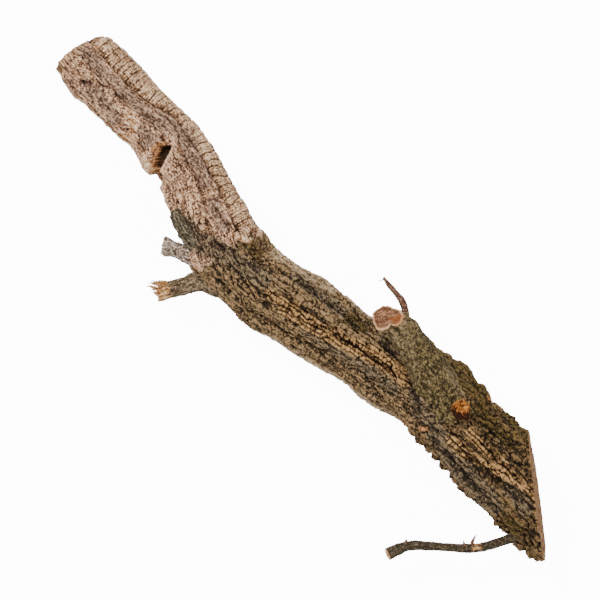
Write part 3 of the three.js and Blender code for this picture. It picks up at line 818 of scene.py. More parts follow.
def smooth_bark(p, share, angle):
    """Bark of the side limb: plates and rows near the main limb, thinning out to fine cracks at the cut.

    The cut end is kidney-shaped, drawn in at one place and swelling beside it, with a shoulder behind it.
    """
    warped = p + 1.8 * np.stack([grain(p / 4, seed) for seed in (95, 96, 97)], axis=-1)
    scales = chip_relief(warped / np.array([9.0, 5.0, 5.0]), 92, 0.6, 0.6, 0.5, 0.08)
    fine = chip_relief(warped / np.array([3.0, 2.0, 2.0]), 93, 0.35, 0.5, 0.2, 0.15)
    old = 1 - smoothstep(0.3, 0.7, share)
    row_place = SIDE_LIMB_ROWS * angle / TURN + 1.1 * grain(p / 9, 97) + 0.6 * grain(p / 4, 98)
    rows = brick_relief(row_place, warped[..., 0], 8, 99, SIDE_LIMB_ROWS, 0.7, (0.7, 0.08), (0.3, 0.06), 0.5)
    rows *= 0.1 + 0.7 * old * smoothstep(-0.3, 0.4, grain(p / 11, 91))
    kidney = 0.8 * bell(angle - 1.95, 0.4) - 2.6 * bell(angle - 1.2, 0.26) + 0.95 * np.cos(2 * (angle + 0.82))
    cut_shape = smoothstep(0.82, 0.97, share) * kidney + 0.4 * bell(share - 0.985, 0.02)
    shoulder = 1.8 * bell(share - 0.87, 0.06) * bell(angle - 3.1, 0.6)
    bumps = 0.6 * grain(p / 6, 94) * (1 + old)
    return rows + scales * (0.35 + 0.65 * old) + fine + bumps + cut_shape + shoulder


def stub_bark(p, share, angle):
    """Thin bark of a stub: fine long wrinkles, a few scales and a swelling near the broken end."""
    wrinkles = 0.3 * layered_grain(p / np.array([6.0, 1.1, 1.1]), 101)
    warped = p / np.array([3.6, 2.2, 2.2]) + 0.4 * grain(p / 3, 103)[..., None]
    scales = chip_relief(warped, 102, 0.4, 0.4, 0.2, 0.15)
    swollen = 0.9 * bell(share - 0.93, 0.06) * (0.6 + 0.4 * np.sin(2 * angle))
    return wrinkles + scales + 0.5 * grain(p / 4, 104) + swollen


def twig_bark(p, share, angle):
    """Twig bark: long fine wrinkles and a low ring here and there where leaves grew."""
    wrinkles = layered_grain(p / np.array([7.0, 0.8, 0.8]), 111)
    along_ring = (p[..., 0] / 17.0 + 0.3 * np.sin(p[..., 0] / 9)) % 1 - 0.5
    scars = 0.25 * bell(along_ring, math.sqrt(0.0006))
    return 0.22 * wrinkles + 0.3 * grain(p / 4, 112) + scars * (0.5 + 0.5 * np.sin(angle))


def torn_surface(p, share, angle):
    """Torn wood: sharp splinters along the grain, rougher towards the broken end."""
    splinters = np.abs(layered_grain(p / np.array([4.0, 1.0, 1.0]), 121))
    return (0.3 + 1.2 * share) * splinters + 0.8 * grain(p / 2.6, 122)


def twig_tear(share, angle):
    """From 0 to 1: a ragged patch of torn bark on the low twig's upper side."""
    ragged = 0.5 * np.sin(7 * angle + 60 * share) + 0.3 * np.sin(13 * angle - 140 * share)
    return bell(share - 0.365, 0.04) * smoothstep(-0.1, 0.7, np.cos(angle - 2.4) + 0.4 * ragged)


def stub_tear(share, angle):
    """From 0 to 1: the bare wood near the broken stub's end, its edge ragged."""
    ragged = 0.03 * np.sin(5 * angle) + 0.02 * np.sin(11 * angle + 1) + 0.015 * np.sin(23 * angle)
    return smoothstep(0.80, 0.86, share + ragged)


def torn_face(points, share):
    """The height of a broken face: splinters and pits, fading out at the rim and middle."""
    splinters = 1.3 * grain(points / 1.5, 131) + 0.7 * grain(points / 0.7, 132)
    return splinters * smoothstep(0, 0.15, share) * smoothstep(1.05, 0.8, share)


def knot_crown(points, share):
    """The height of the knot's torn crown: deep pits and ragged ledges."""
    ragged = 2.4 * grain(points / 2.6, 133) + 1.1 * grain(points / 1.1, 134)
    return ragged * smoothstep(0, 0.15, share) * smoothstep(1.1, 0.85, share)


def side_limb_face(points, share):
    """The sawn face of the side limb: a raised rolled rim round a sunken middle."""
    rim = bell(share - 0.86, 0.07) - smoothstep(0.75, 0.45, share)
    return 0.9 * rim + 0.25 * grain(points / 1.2, 141)


def spikes(name, roots, tips, radii, bend, materials):
    """A bunch of thin closed spikes in one mesh: each has rings of four points narrowing over six rows.

    The path from root to tip bows sideways by bend at its middle, and all spikes are computed as one array.
    """
    count, rows, sides = len(roots), 6, 4
    share = np.linspace(0, 1, rows)
    way = tips - roots
    aside, up = cross_axes(unit(way + 1e-6))
    bow = bend[:, None] * np.sin(math.pi * share)
    line = roots[:, None] + way[:, None] * share[:, None] + aside[:, None] * bow[..., None]
    turn = np.linspace(0, TURN, sides, endpoint=False)
    ring = aside[:, None, None] * np.cos(turn)[:, None] + up[:, None, None] * np.sin(turn)[:, None]
    girth = radii[:, None] * (1 - 0.93 * share**1.4)
    points = line[:, :, None] + ring * girth[..., None, None]
    vertices = np.concatenate([points.reshape(count, -1, 3), roots[:, None], tips[:, None]], axis=1)
    base = (np.arange(count) * vertices.shape[1])[:, None, None]
    parts = [(part[None] + base).reshape(-1, part.shape[-1]).tolist() for part in tube_faces(rows, sides)]
    mesh = bpy.data.meshes.new(name)
    vertices = vertices.reshape(-1, 3)
    mesh.from_pydata(((vertices + PLAN_SHIFT) * MM).tolist(), [], list(itertools.chain(*parts)))
    for material in materials:
        mesh.materials.append(material)
    share_mark = np.concatenate([np.broadcast_to(share[:, None], (rows, sides)).ravel(), [0, 1]])
    add_mark(mesh, "share", np.tile(share_mark, count))
    add_mark(mesh, "crest", np.full(len(vertices), SPIKE_CREST))
    add_mark(mesh, "flow", vertices * MM)
    return show(mesh)


# Paths of the side limb, stubs, knot and twigs: place and radius.
SIDE_LIMB = [
    (122, -98, 34, 22),
    (107, -78, 45, 19),
    (95, -58, 54, 15.8),
    (85, -42, 61, 13.2),
    (75.5, -27.5, 66.5, 11.2),
    (67.5, -18, 70.5, 10.3),
    (60.5, -12.5, 73, 9.6),
]
SIDE_LIMB_ROWS = 18
GREY_STUB = [
    (-64, 32, 36, 8),
    (-75.5, 41, 43, 6.2),
    (-83, 51, 46, 5.4),
    (-88.2, 61, 46.5, 4.6),
    (-89.5, 64.5, 46.3, 2.4),
]
MIDDLE_STUB = [(-60, 23.5, 32, 9), (-78, 31.5, 33, 6.6), (-88, 35.7, 33.5, 5.6), (-98.5, 39.5, 34, 6.4)]
BROKEN_STUB = [
    (-58, 12, 30, 10),
    (-72, 13.5, 31, 7.4),
    (-84, 10.2, 32, 6.3),
    (-97, 6.8, 33, 6.2),
    (-101, 5.2, 33.5, 5.9),
]
KNOT = [(112.2, -81, 57, 6.2), (112.4, -77.5, 63.5, 5.8), (112.6, -74, 69, 5)]
KNOT_FACES = (0.05, 0.72, 0.69)
LOW_TWIG = [
    (162, -165.5, 37, 4.6),
    (152, -170, 37.5, 3.6),
    (140, -174.6, 37, 3.3),
    (124, -178.2, 36, 3.2),
    (108, -177.6, 35, 3.0),
    (92, -176.4, 34, 3.3),
    (78, -176.8, 33, 3.5),
    (70, -179.6, 32.5, 4.1),
    (63, -183, 32, 4.4),
]
HIGH_TWIG = [
    (74, -22, 66, 4.4),
    (73.5, -8, 67, 2.6),
    (71.8, -1.5, 68.5, 2.6),
    (67.5, 4, 70, 2.0),
    (62.5, 9.5, 71, 1.8),
    (58, 15.7, 72, 1.0),
]

# Each stem: its path, the way its cut faces, its rows and columns of points, and the solid's own slow
# waviness, with the rows that the stem has there.
STEMS = {
    "side_limb": (SIDE_LIMB, (-0.46, 0.46, 0.75), 260, 150, 0.6, 14),
    "grey_stub": (GREY_STUB, (-0.6, 0.75, 0.2), 130, 76, 0.2, 6),
    "middle_stub": (MIDDLE_STUB, (-0.96, 0.2, 0.1), 130, 80, 0.3, 6),
    "broken_stub": (BROKEN_STUB, (-0.97, 0.15, 0.15), 140, 80, 0.3, 8),
    "knot": (KNOT, KNOT_FACES, 90, 90, 0.4, 3),
    "low_twig": (LOW_TWIG, (-0.9, -0.35, 0.25), 420, 48, 0.15, 22),
    "high_twig": (HIGH_TWIG, (-0.7, 0.7, 0.1), 180, 36, 0.1, 12),
}

# The broken stub's fibres: how many, where their bunch starts, its radius, their length, the way they point.
FIBRE_COUNT = 60
FIBRE_ROOT = np.array([-97.5, 7.0, 33.3])
FIBRE_BUNCH = 6.2
FIBRE_LENGTH = 13.5
FIBRE_WAY = (-0.95, 0.24, 0.2)

# The knot's splinters: how many, and the radius of their bunch.
SPLINTER_COUNT = 48
SPLINTER_BUNCH = 4.6

# The thorn, the buds and the high twig's hair: root, tip, radius, and how far each bows.
THORN_AND_BUDS = [
    ((123, -175.5, 37.5), (126.5, -167, 39.5), 1.5, 0.6),
    ((118, -176, 37), (117, -171.6, 38.5), 1.3, 0.2),
    ((76, -174.5, 34.5), (76.5, -171.2, 35.5), 1.7, 0.1),
    ((125, -176.5, 38), (121.5, -172.5, 40.5), 0.9, 0.4),
    ((128, -176, 38.5), (130, -172.5, 40.5), 1.2, -0.3),
    ((58.5, 15.2, 72), (53.0, 14.4, 72.5), 0.5, 1.6),
]


# Materials.

class Graph:
    """A short way to write a node tree. add places a node and joins its inputs, each a value or a socket."""

    def __init__(self, tree):
        self.tree = tree

    def add(self, kind, inputs=None, **settings):
        node = self.tree.nodes.new(kind)
        for key, value in settings.items():
            setattr(node, key, value)
        for key, value in (inputs or {}).items():
            if isinstance(value, bpy.types.NodeSocket):
                self.tree.links.new(value, node.inputs[key])
            else:
                node.inputs[key].default_value = value
        return node

    def math(self, operation, a, b=0.0):
        return self.add("ShaderNodeMath", {0: a, 1: b}, operation=operation).outputs[0]

    def times(self, a, b):
        return self.math("MULTIPLY", a, b)

    def total(self, *terms):
        """The sum of sockets and numbers; a pair is a socket and its weight."""
        parts = [self.times(*term) if isinstance(term, tuple) else term for term in terms]
        return functools.reduce(lambda a, b: self.math("ADD", a, b), parts)

    def vector(self, operation, a, b):
        return self.add("ShaderNodeVectorMath", {0: a, 1: b}, operation=operation).outputs[0]

    def mix(self, factor, a, b, blend="MIX"):
        node = self.add("ShaderNodeMix", {"Factor": factor}, data_type="RGBA", blend_type=blend)
        for slot, value in ((6, a), (7, b)):
            if isinstance(value, bpy.types.NodeSocket):
                self.tree.links.new(value, node.inputs[slot])
            else:
                node.inputs[slot].default_value = (*value[:3], 1.0)
        return node.outputs[2]

    def span(self, value, low, high, to_low=0.0, to_high=1.0):
        inputs = {0: value, 1: low, 2: high, 3: to_low, 4: to_high}
        return self.add("ShaderNodeMapRange", inputs, interpolation_type="SMOOTHSTEP").outputs[0]

    def noise(self, place, scale, detail=3.0, roughness=0.6, distortion=0.0, output=0):
        inputs = {"Vector": place, "Scale": scale, "Detail": detail, "Roughness": roughness}
        return self.add("ShaderNodeTexNoise", {**inputs, "Distortion": distortion}).outputs[output]

    def cells(self, place, scale, feature, output):
        inputs = {"Vector": place, "Scale": scale}
        return self.add("ShaderNodeTexVoronoi", inputs, feature=feature).outputs[output]

    def mark(self, name):
        return self.add("ShaderNodeAttribute", attribute_name=name).outputs["Fac"]

    def flow(self):
        return self.add("ShaderNodeAttribute", attribute_name="flow").outputs["Vector"]

    def group(self, tree, inputs):
        return self.add("ShaderNodeGroup", inputs, node_tree=tree)

    def palette(self, height, *names):
        """The palette group at that height, in three tones: those of one name, or three named in full."""
        if len(names) == 1:
            names = [f"{names[0]}_{level}" for level in ("dark", "middle", "light")]
        tones = dict(zip(("Dark", "Middle", "Light"), map(colour_of, names)))
        return self.group(palette_group(), {"Height": height, **tones}).outputs[0]

    def painted_crack_shade(self, colour, crest, deepest):
        """Painted shade in the cracks: the colour, down to the deepest share of it where the crest mark is
        lowest.
        """
        shade_factor = self.span(crest, 0.02, 0.30, deepest, 1.0)
        grey = self.add("ShaderNodeCombineColor", {0: shade_factor, 1: shade_factor, 2: shade_factor}).outputs[0]
        return self.mix(1.0, colour, grey, "MULTIPLY")


def colour_of(name):
    return (*getattr(bpy.context.scene.branch_colours, name), 1.0)


def new_group(name, inputs, outputs):
    """A shader node group with named sockets; returns its graph and its input and output nodes."""
    tree = bpy.data.node_groups.new(name, "ShaderNodeTree")
    for socket, kind, default in inputs:
        made = tree.interface.new_socket(socket, in_out="INPUT", socket_type=kind)
        if default is not None:
            made.default_value = default
    for socket, kind in outputs:
        tree.interface.new_socket(socket, in_out="OUTPUT", socket_type=kind)
    graph = Graph(tree)
    return graph, tree.nodes.new("NodeGroupInput"), tree.nodes.new("NodeGroupOutput")


def palette_group():
    """Three colours by height: dark in the cracks, the middle one on slopes and the light one on crests;
    partly the bark's own tones, partly painted shade in the cracks and a painted highlight on the crests.
    """
    if "Palette by height" in bpy.data.node_groups:
        return bpy.data.node_groups["Palette by height"]
    colour = "NodeSocketColor"
    sockets = [
        ("Height", "NodeSocketFloat", 0.5),
        ("Dark", colour, (0.05, 0.03, 0.02, 1)),
        ("Middle", colour, (0.3, 0.2, 0.1, 1)),
        ("Light", colour, (0.6, 0.5, 0.4, 1)),
    ]
    graph, ins, outs = new_group("Palette by height", sockets, [("Color", colour)])
    low = graph.mix(graph.span(ins.outputs["Height"], 0.12, 0.48), ins.outputs["Dark"], ins.outputs["Middle"])
    full = graph.mix(graph.span(ins.outputs["Height"], 0.55, 0.9), low, ins.outputs["Light"])
    graph.tree.links.new(full, outs.inputs["Color"])
    return graph.tree


def grit_group():
    """Grain finer than the mesh, as a height: flakes and fibres along the flow, crumbs and a net of cracks.

    Flecks is a noise for scattered spots, and Lines a wave across the flow, for cork with fine cross cracks.
    """
    if "Crumbly grain" in bpy.data.node_groups:
        return bpy.data.node_groups["Crumbly grain"]
    given = [(name, "NodeSocketVector", None) for name in ("Vector", "Flow")]
    results = [(name, "NodeSocketFloat") for name in ("Height", "Flecks", "Lines")]
    graph, ins, outs = new_group("Crumbly grain", [*given, ("Scale", "NodeSocketFloat", 1.0)], results)

    def scaled(name):
        inputs = {0: ins.outputs[name], "Scale": ins.outputs["Scale"]}
        return graph.add("ShaderNodeVectorMath", inputs, operation="SCALE").outputs[0]

    place, flow = scaled("Vector"), scaled("Flow")

    def pushed(scale, reach, stretch):
        push = graph.noise(flow, scale, 3.0, 0.5, output="Color")
        inputs = {0: push, 1: (reach, reach, reach), 2: flow}
        bent = graph.add("ShaderNodeVectorMath", inputs, operation="MULTIPLY_ADD").outputs[0]
        return graph.vector("MULTIPLY", bent, (stretch, 1.0, 1.0))

    def flakes(source, scale):
        return graph.add("ShaderNodeSeparateColor", {0: graph.cells(source, scale, "F1", "Color")}).outputs[0]

    cracks = graph.cells(pushed(330, 0.004, 0.45), 350, "DISTANCE_TO_EDGE", "Distance")
    net = graph.span(cracks, 0.0, 0.08)
    large, small = flakes(pushed(300, 0.003, 0.5), 430), flakes(pushed(600, 0.0015, 0.7), 1150)
    fibres = graph.noise(graph.vector("MULTIPLY", flow, (0.22, 1.0, 1.0)), 1050, 2.0, 0.7, 0.6)
    crumbs = graph.noise(place, 1250, 2.0, 0.75, 0.2)
    height = graph.total((crumbs, 0.5), (fibres, 0.26), (large, 0.06), (small, 0.22), (net, 0.17), -0.17)
    across = graph.add("ShaderNodeSeparateXYZ", {0: flow}).outputs[0]
    wobble = graph.total((graph.noise(flow, 90, 2.0, 0.5), 12.0), graph.noise(flow, 500, 2.0, 0.5))
    lines = graph.math("SINE", graph.total((across, 3300.0), wobble))
    for name, value in (("Height", height), ("Flecks", graph.noise(place, 520, 3.0, 0.8)), ("Lines", lines)):
        graph.tree.links.new(value, outs.inputs[name])
    return graph.tree


def new_material(name):
    """A material with one Principled shader; returns it, its graph, the shader and the place on the object."""
    material = bpy.data.materials.new(name)
    material.use_nodes = True
    tree = material.node_tree
    tree.nodes.clear()
    graph = Graph(tree)
    shader = graph.add("ShaderNodeBsdfPrincipled")
    graph.add("ShaderNodeOutputMaterial", {"Surface": shader.outputs[0]})
    shader.inputs["Specular IOR Level"].default_value = 0.18
    return material, graph, shader, graph.add("ShaderNodeTexCoord").outputs["Object"]


def finish_shader(graph, shader, colour, roughness, height, strength, distance):
    """Joins colour and roughness to the shader, and a height through a Bump node to its normal."""
    bump = graph.add("ShaderNodeBump", {"Height": height, "Strength": strength, "Distance": distance})
    for socket, value in (("Base Color", colour), ("Roughness", roughness), ("Normal", bump.outputs[0])):
        graph.tree.links.new(value, shader.inputs[socket])


def cork_material():
    """Furrowed cork: a palette for each half, the band, the golden ridges, and each kind of patch."""
    if "furrowed_cork" in bpy.data.materials:
        return bpy.data.materials["furrowed_cork"]
    material, graph, shader, place = new_material("furrowed_cork")
    grit = graph.group(grit_group(), {"Vector": place, "Flow": graph.flow(), "Scale": 1.0}).outputs
    crest = graph.mark("crest")
    broad = graph.noise(place, 60, 3.0, 0.6)
    height = graph.total(crest, (grit["Height"], 2.9), (broad, 0.4), -0.48 * 2.9 - 0.5 * 0.4)
    barred, lightly_barred = (graph.total(height, (grit["Lines"], strength)) for strength in (0.17, 0.08))
    cubed = graph.total((crest, 1.35), (grit["Height"], 1.7), -1.0)

    def palette(name, at=height):
        return graph.palette(at, name)

    def amount(mark, low, high, wobble=0.5, most=1.0):
        uneven = graph.total((graph.noise(place, 130, 3.0, 0.7), wobble), -wobble / 2)
        return graph.times(graph.span(graph.total(graph.mark(mark), uneven), low, high), most)

    thick = graph.mix(amount("deep", 0.2, 0.8, 0.4), palette("thick"), palette("deep"))
    tan_patches = graph.times(graph.span(graph.noise(place, 85, 4.0, 0.7), 0.52, 0.66), 0.3)
    thick = graph.mix(tan_patches, thick, palette("golden"))
    grey = graph.times(graph.span(graph.noise(place, 70, 3.0, 0.65), 0.5, 0.62), 0.35)
    thin = graph.mix(grey, palette("thin", lightly_barred), palette("mauve"))
    thin = graph.mix(amount("band", 0.3, 0.7, 0.3, 0.85), thin, palette("band", barred))
    colour = graph.mix(amount("age", 0.3, 0.7, 0.4), thin, thick)
    for mark, low, high, wobble, most, tones, at in (
        # The lower edge: paler, partly the bark's own tone and partly painted light reflected from below.
        ("edge", 0.35, 0.8, 0.5, 1.0, "edge", height),
        # Dark grey-brown old bark, and painted shadow in the crotch, below the grey stub and at the lower
        # right.
        ("dusk", 0.35, 0.75, 0.9, 0.85, "dusk", height),
        ("tan", 0.35, 0.75, 0.9, 0.85, "edge", height),
        ("golden", 0.3, 0.65, 0.9, 1.0, "golden", cubed),
        ("mauve", 0.3, 0.7, 0.9, 0.85, "mauve", height),
        ("moss", 0.3, 0.8, 0.9, 0.8, "moss", height),
        ("fresh", 0.4, 0.6, 1.1, 1.0, "fresh", height),
        ("rust", 0.4, 0.6, 1.1, 1.0, "rust", height),
    ):
        colour = graph.mix(amount(mark, low, high, wobble, most), colour, palette(tones, at))
    colour = graph.mix(graph.times(graph.span(grit["Flecks"], 0.64, 0.7), 0.5), colour, colour_of("lichen"))
    colour = graph.mix(graph.times(graph.span(graph.mark("worn"), 0.6, 1.0), 0.5), colour, palette("golden"))
    colour = graph.mix(amount("notch_wall", 0.3, 0.6, 0.6, 0.85), colour, palette("rust"))
    colour = graph.mix(graph.span(graph.mark("notch"), 0.2, 0.6), colour, palette("notch"))
    colour = graph.mix(amount("notch_rim", 0.3, 0.7, 0.5, 0.7), colour, colour_of("thin_light"))
    # Painted shade: the cork darkened in its cracks, where the crest mark is low.
    colour = graph.painted_crack_shade(colour, crest, 0.58)
    roughness = graph.span(grit["Height"], 0.3, 0.7, 0.95, 0.78)
    finish_shader(graph, shader, colour, roughness, grit["Height"], 0.9, 0.0016)
    return material


def young_bark(name, tones, lichen=0.4, pale_end=0.0, grey=0.0):
    """Bark of the side limb, stubs and twigs in the tones of that name, with blotches and lichen.

    lichen is how strong the spots are, pale_end how much they crowd towards the end, and grey how strong the
    broad grey patches are. Where the bark is torn off, the wood has the splinters' colours.
    """
    if name in bpy.data.materials:
        return bpy.data.materials[name]
    material, graph, shader, place = new_material(name)
    grit = graph.group(grit_group(), {"Vector": place, "Flow": graph.flow(), "Scale": 1.2}).outputs
    crest = graph.mark("crest")
    height = graph.total(crest, (grit["Height"], 2.6), -0.48 * 2.6)
    blotch = graph.times(graph.span(graph.noise(place, 95, 3.0, 0.6), 0.5, 0.62), 0.35)
    colour = graph.mix(blotch, graph.palette(height, tones), colour_of(f"{tones}_blotch"))
    broad = graph.times(graph.span(graph.noise(place, 48, 4.0, 0.65), 0.5, 0.6), grey)
    colour = graph.mix(broad, colour, graph.palette(height, "edge"))
    crowd = graph.times(graph.span(graph.mark("share"), 0.5, 0.9), pale_end)
    spots = graph.times(graph.span(graph.total(grit["Flecks"], crowd), 0.62, 0.68), lichen)
    colour = graph.mix(spots, colour, colour_of("lichen"))
    colour = graph.mix(graph.span(graph.mark("torn"), 0.35, 0.6), colour, graph.palette(height, "torn"))
    # Painted shade: the bark darkened in its cracks, where the crest mark is low.
    colour = graph.painted_crack_shade(colour, crest, 0.62)
    roughness = graph.span(grit["Height"], 0.3, 0.7, 0.9, 0.7)
    finish_shader(graph, shader, colour, roughness, grit["Height"], 0.8, 0.0012)
    return material


def sawn_wood(name, tones, lobe_tone):
    """Sawn wood: rings by the share of the way out, pores, streaks, and a rim and a lobe of other colours."""
    if name in bpy.data.materials:
        return bpy.data.materials[name]
    material, graph, shader, place = new_material(name)
    ring = graph.mark("ring")
    rings = graph.math("SINE", graph.total((ring, 34.0), (graph.noise(place, 180, 3.0, 0.6), 14.0)))
    streaks = graph.noise(graph.vector("MULTIPLY", place, (0.35, 1.0, 1.0)), 420, 3.0, 0.7)
    grit = graph.noise(place, 1200, 3.0, 0.75)
    height = graph.total((rings, 0.16), (grit, 0.9), (streaks, 2.4), -0.5 * 2.4)
    colour = graph.palette(height, tones)
    line = graph.times(graph.span(ring, 0.74, 0.79), graph.span(ring, 0.86, 0.81))
    colour = graph.mix(graph.times(line, 0.7), colour, colour_of(f"{tones}_dark"))
    colour = graph.mix(graph.times(graph.span(ring, 0.82, 0.89), 0.85), colour, colour_of(f"{tones}_rim"))
    lobe = graph.times(graph.span(graph.mark("lobe"), 0.9, 0.98), 0.6)
    colour = graph.mix(lobe, colour, colour_of(lobe_tone))
    finish_shader(graph, shader, colour, graph.span(grit, 0.3, 0.7, 0.85, 0.68), height, 0.4, 0.0006)
    return material


def torn_wood(name, tones, paleness):
    """Torn wood: paler towards the tips, dark on the flank that the lobe mark points to, with fine streaks.

    tones names three colours, dark to light, and paleness from 0 to 1 is how much of the light one shows.
    """
    if name in bpy.data.materials:
        return bpy.data.materials[name]
    material, graph, shader, place = new_material(name)
    grit = graph.noise(place, 900, 3.0, 0.8)
    share, crest = graph.mark("share"), graph.mark("crest")
    flank = graph.times(graph.span(graph.mark("lobe"), 0.35, 0.75), graph.span(share, 1.0, 0.8))
    level = paleness - 0.5 * 2.6 - 0.5 * 0.9
    height = graph.total((share, 0.25), (grit, 2.6), (flank, -0.4), (crest, 0.9), level)
    colour = graph.palette(height, *tones)
    finish_shader(graph, shader, colour, graph.span(grit, 0.3, 0.7, 0.85, 0.7), grit, 0.7, 0.001)
    return material


def splintered_wood():
    return torn_wood("splintered_wood", ["torn"], 0.3)


def red_twig_bark():
    return young_bark("red_twig_bark", "red_twig", lichen=0.6)


# What a user would change.

def shade(label, where, tones):
    look = {"size": 3, "subtype": "COLOR", "min": 0, "max": 1}
    return FloatVectorProperty(name=label, description=where, default=tone(*tones), **look)


# What each bark or wood is, with its dark, middle and light tones in 0..255 screen values.
# The dark tones are partly painted shade in the cracks, the light ones partly a painted highlight on crests.
TONES = {
    "thin": ("pale pinkish cork of the thin half", (42, 24, 12), (152, 109, 79), (255, 208, 168)),
    "band": ("tan cork of the band", (70, 44, 24), (168, 126, 88), (255, 214, 172)),
    "thick": ("old brown and olive cork of the thick half", (36, 26, 15), (86, 66, 43), (163, 132, 93)),
    "deep": ("darkest cork at the thickest end", (26, 18, 9), (58, 42, 23), (130, 102, 66)),
    # On the lower edge these tones are partly the bark's own and partly painted reflected light; elsewhere
    # they are the bark's own.
    "edge": ("calm tan strip along the lower edge", (92, 70, 46), (152, 128, 97), (204, 176, 138)),
    "golden": ("golden cube-cracked cork", (38, 23, 10), (120, 88, 52), (200, 156, 102)),
    "fresh": ("freshly torn pale orange cork", (124, 70, 36), (206, 152, 104), (255, 226, 190)),
    "rust": ("small rusty torn places", (74, 38, 16), (144, 90, 48), (206, 148, 98)),
    "mauve": ("smooth mauve-brown patches", (56, 36, 25), (112, 86, 70), (196, 160, 134)),
    # These tones also paint shadow: in the crotch by the side limb, below the grey stub and at the lower
    # right.
    "dusk": ("dark grey-brown strips of old bark", (33, 25, 17), (68, 55, 40), (140, 119, 91)),
    "moss": ("olive mossy film", (24, 16, 5), (60, 47, 18), (104, 83, 40)),
    "notch": ("inside of the notch", (58, 37, 20), (104, 76, 46), (152, 116, 76)),
    "sawn": ("wood of the limb's sawn ends", (84, 50, 26), (130, 93, 58), (186, 144, 98)),
    "cut": ("pinkish wood of the side limb's cut", (86, 50, 28), (126, 86, 60), (184, 136, 102)),
    "torn": ("splinters of the broken stub", (92, 54, 28), (182, 130, 80), (244, 204, 154)),
    "knot": ("orange-brown wood of the knot", (46, 15, 4), (136, 72, 24), (214, 146, 70)),
    "side": ("grey-green bark of the side limb", (42, 33, 19), (72, 57, 30), (138, 118, 76)),
    "grey": ("dark grey-green bark of the grey stub", (32, 28, 20), (72, 62, 44), (146, 132, 106)),
    "stub": ("pinkish brown bark of the middle stub", (48, 32, 24), (114, 86, 70), (234, 212, 190)),
    "mossy": ("mossy brown bark of the broken stub", (44, 34, 24), (100, 80, 58), (170, 146, 116)),
    "twig": ("grey-brown bark of the low twig", (36, 30, 20), (56, 46, 31), (112, 94, 70)),
    "red_twig": ("reddish bark of the high twig", (66, 40, 28), (92, 58, 42), (172, 132, 106)),
}

# Colours that stand alone: property, what it colours, and its screen values.
SPOT_TONES = {
    "lichen": ("pale lichen flecks", (206, 198, 178)),
    "sawn_rim": ("cork rim of the limb's sawn ends", (150, 110, 68)),
    "cut_rim": ("cream rim of the side limb's cut", (220, 170, 126)),
    "cut_lobe": ("orange lobe of the side limb's cut", (140, 76, 28)),
    "side_blotch": ("olive blotches of the side limb", (72, 62, 32)),
    "grey_blotch": ("blotches of the grey stub", (70, 68, 50)),
    "stub_blotch": ("grey blotches of the middle stub", (114, 98, 80)),
    "mossy_blotch": ("mossy blotches of the broken stub", (84, 80, 46)),
    "twig_blotch": ("blotches of the low twig", (62, 55, 38)),
    "red_twig_blotch": ("blotches of the high twig", (98, 76, 62)),
}


def colour_properties():
    """A colour property for each tone and level, and for each colour that stands alone."""
    made = {}
    for name, (where, *levels) in TONES.items():
        for level, part, screen in zip(("dark", "middle", "light"), ("cracks", "slopes", "crests"), levels):
            label = f"{name.replace('_', ' ').capitalize()}, {part}"
            made[f"{name}_{level}"] = shade(label, f"{part.capitalize()}: {where}", screen)
    for name, (where, screen) in SPOT_TONES.items():
        made[name] = shade(name.replace("_", " ").capitalize(), where.capitalize(), screen)
    return made


class BranchColours(bpy.types.PropertyGroup):
    """The colours of the branch's bark and wood."""

    __annotations__ = colour_properties()


class StudioSettings(bpy.types.PropertyGroup):
    """The studio round the branch."""

    camera_height: FloatProperty(
        name="Camera height", description="Camera above the surface", default=1.23, min=0.5, unit="LENGTH"
    )
    field: FloatProperty(
        name="Field", description="Width of the picture at the limb", default=0.432, min=0.1, unit="LENGTH"
    )
    key_power: FloatProperty(
        name="Key light", description="Power of the large soft light", default=28.5, min=0, unit="POWER"
    )
    sky: FloatProperty(
        name="Room light", description="Strength of the even white light from all round", default=0.8, min=0
    )
    floor_glow: FloatProperty(
        name="Floor glow", description="How much the surface outshines the light on it", default=12.0, min=0
    )


# Operators.

class BRANCH_OT_limb(bpy.types.Operator):
    """Builds the crooked limb with its furrowed cork and sawn ends."""

    bl_idname = "branch.limb"
    bl_label = "Limb"

    def execute(self, context):
        materials = [cork_material(), sawn_wood("sawn_limb_wood", "sawn", "sawn_middle")]
        for part in LIMB_PARTS:
            limb_part(*part, materials)
        return {"FINISHED"}


class BRANCH_OT_side_limb(bpy.types.Operator):
    """Builds the sawn side limb that leans towards the viewer."""

    bl_idname = "branch.side_limb"
    bl_label = "Side limb"

    def execute(self, context):
        bark = young_bark("side_limb_bark", "side", lichen=0.35, grey=0.22)
        materials = [bark, sawn_wood("sawn_side_limb_wood", "cut", "cut_lobe")]
        stem("side_limb", smooth_bark, materials, 1, rings=24, bump=side_limb_face, lobe=2.0)
        return {"FINISHED"}


class BRANCH_OT_stubs(bpy.types.Operator):
    """Builds the grey stub, the middle stub and the broken stub."""

    bl_idname = "branch.stubs"
    bl_label = "Stubs"

    def execute(self, context):
        wood = splintered_wood()
        grey = [young_bark("grey_stub_bark", "grey", lichen=0.25)]
        pale = [young_bark("middle_stub_bark", "stub", lichen=0.85, pale_end=0.1), wood]
        mossy = [young_bark("broken_stub_bark", "mossy", lichen=0.3), wood]
        stem("grey_stub", stub_bark, grey, 2, bump=torn_face)
        stem("middle_stub", stub_bark, pale, 3, bump=torn_face)
        stem("broken_stub", stub_bark, mossy, 4, bump=torn_face, torn=stub_tear)
        return {"FINISHED"}


def fanned(count, way):
    """Numbers 0 to count - 1, and for each a direction square to the way, turned by the golden angle."""
    i = np.arange(count)
    side, up = cross_axes(way)
    turn = i * GOLDEN_ANGLE
    return i, side * np.cos(turn)[:, None] + up * np.sin(turn)[:, None]


def strewn(i):
    """A direction for each number, wandering without an order that shows."""
    return np.stack([np.sin(i * 1.7), np.cos(i * 2.3), np.sin(i * 3.1)], axis=-1)


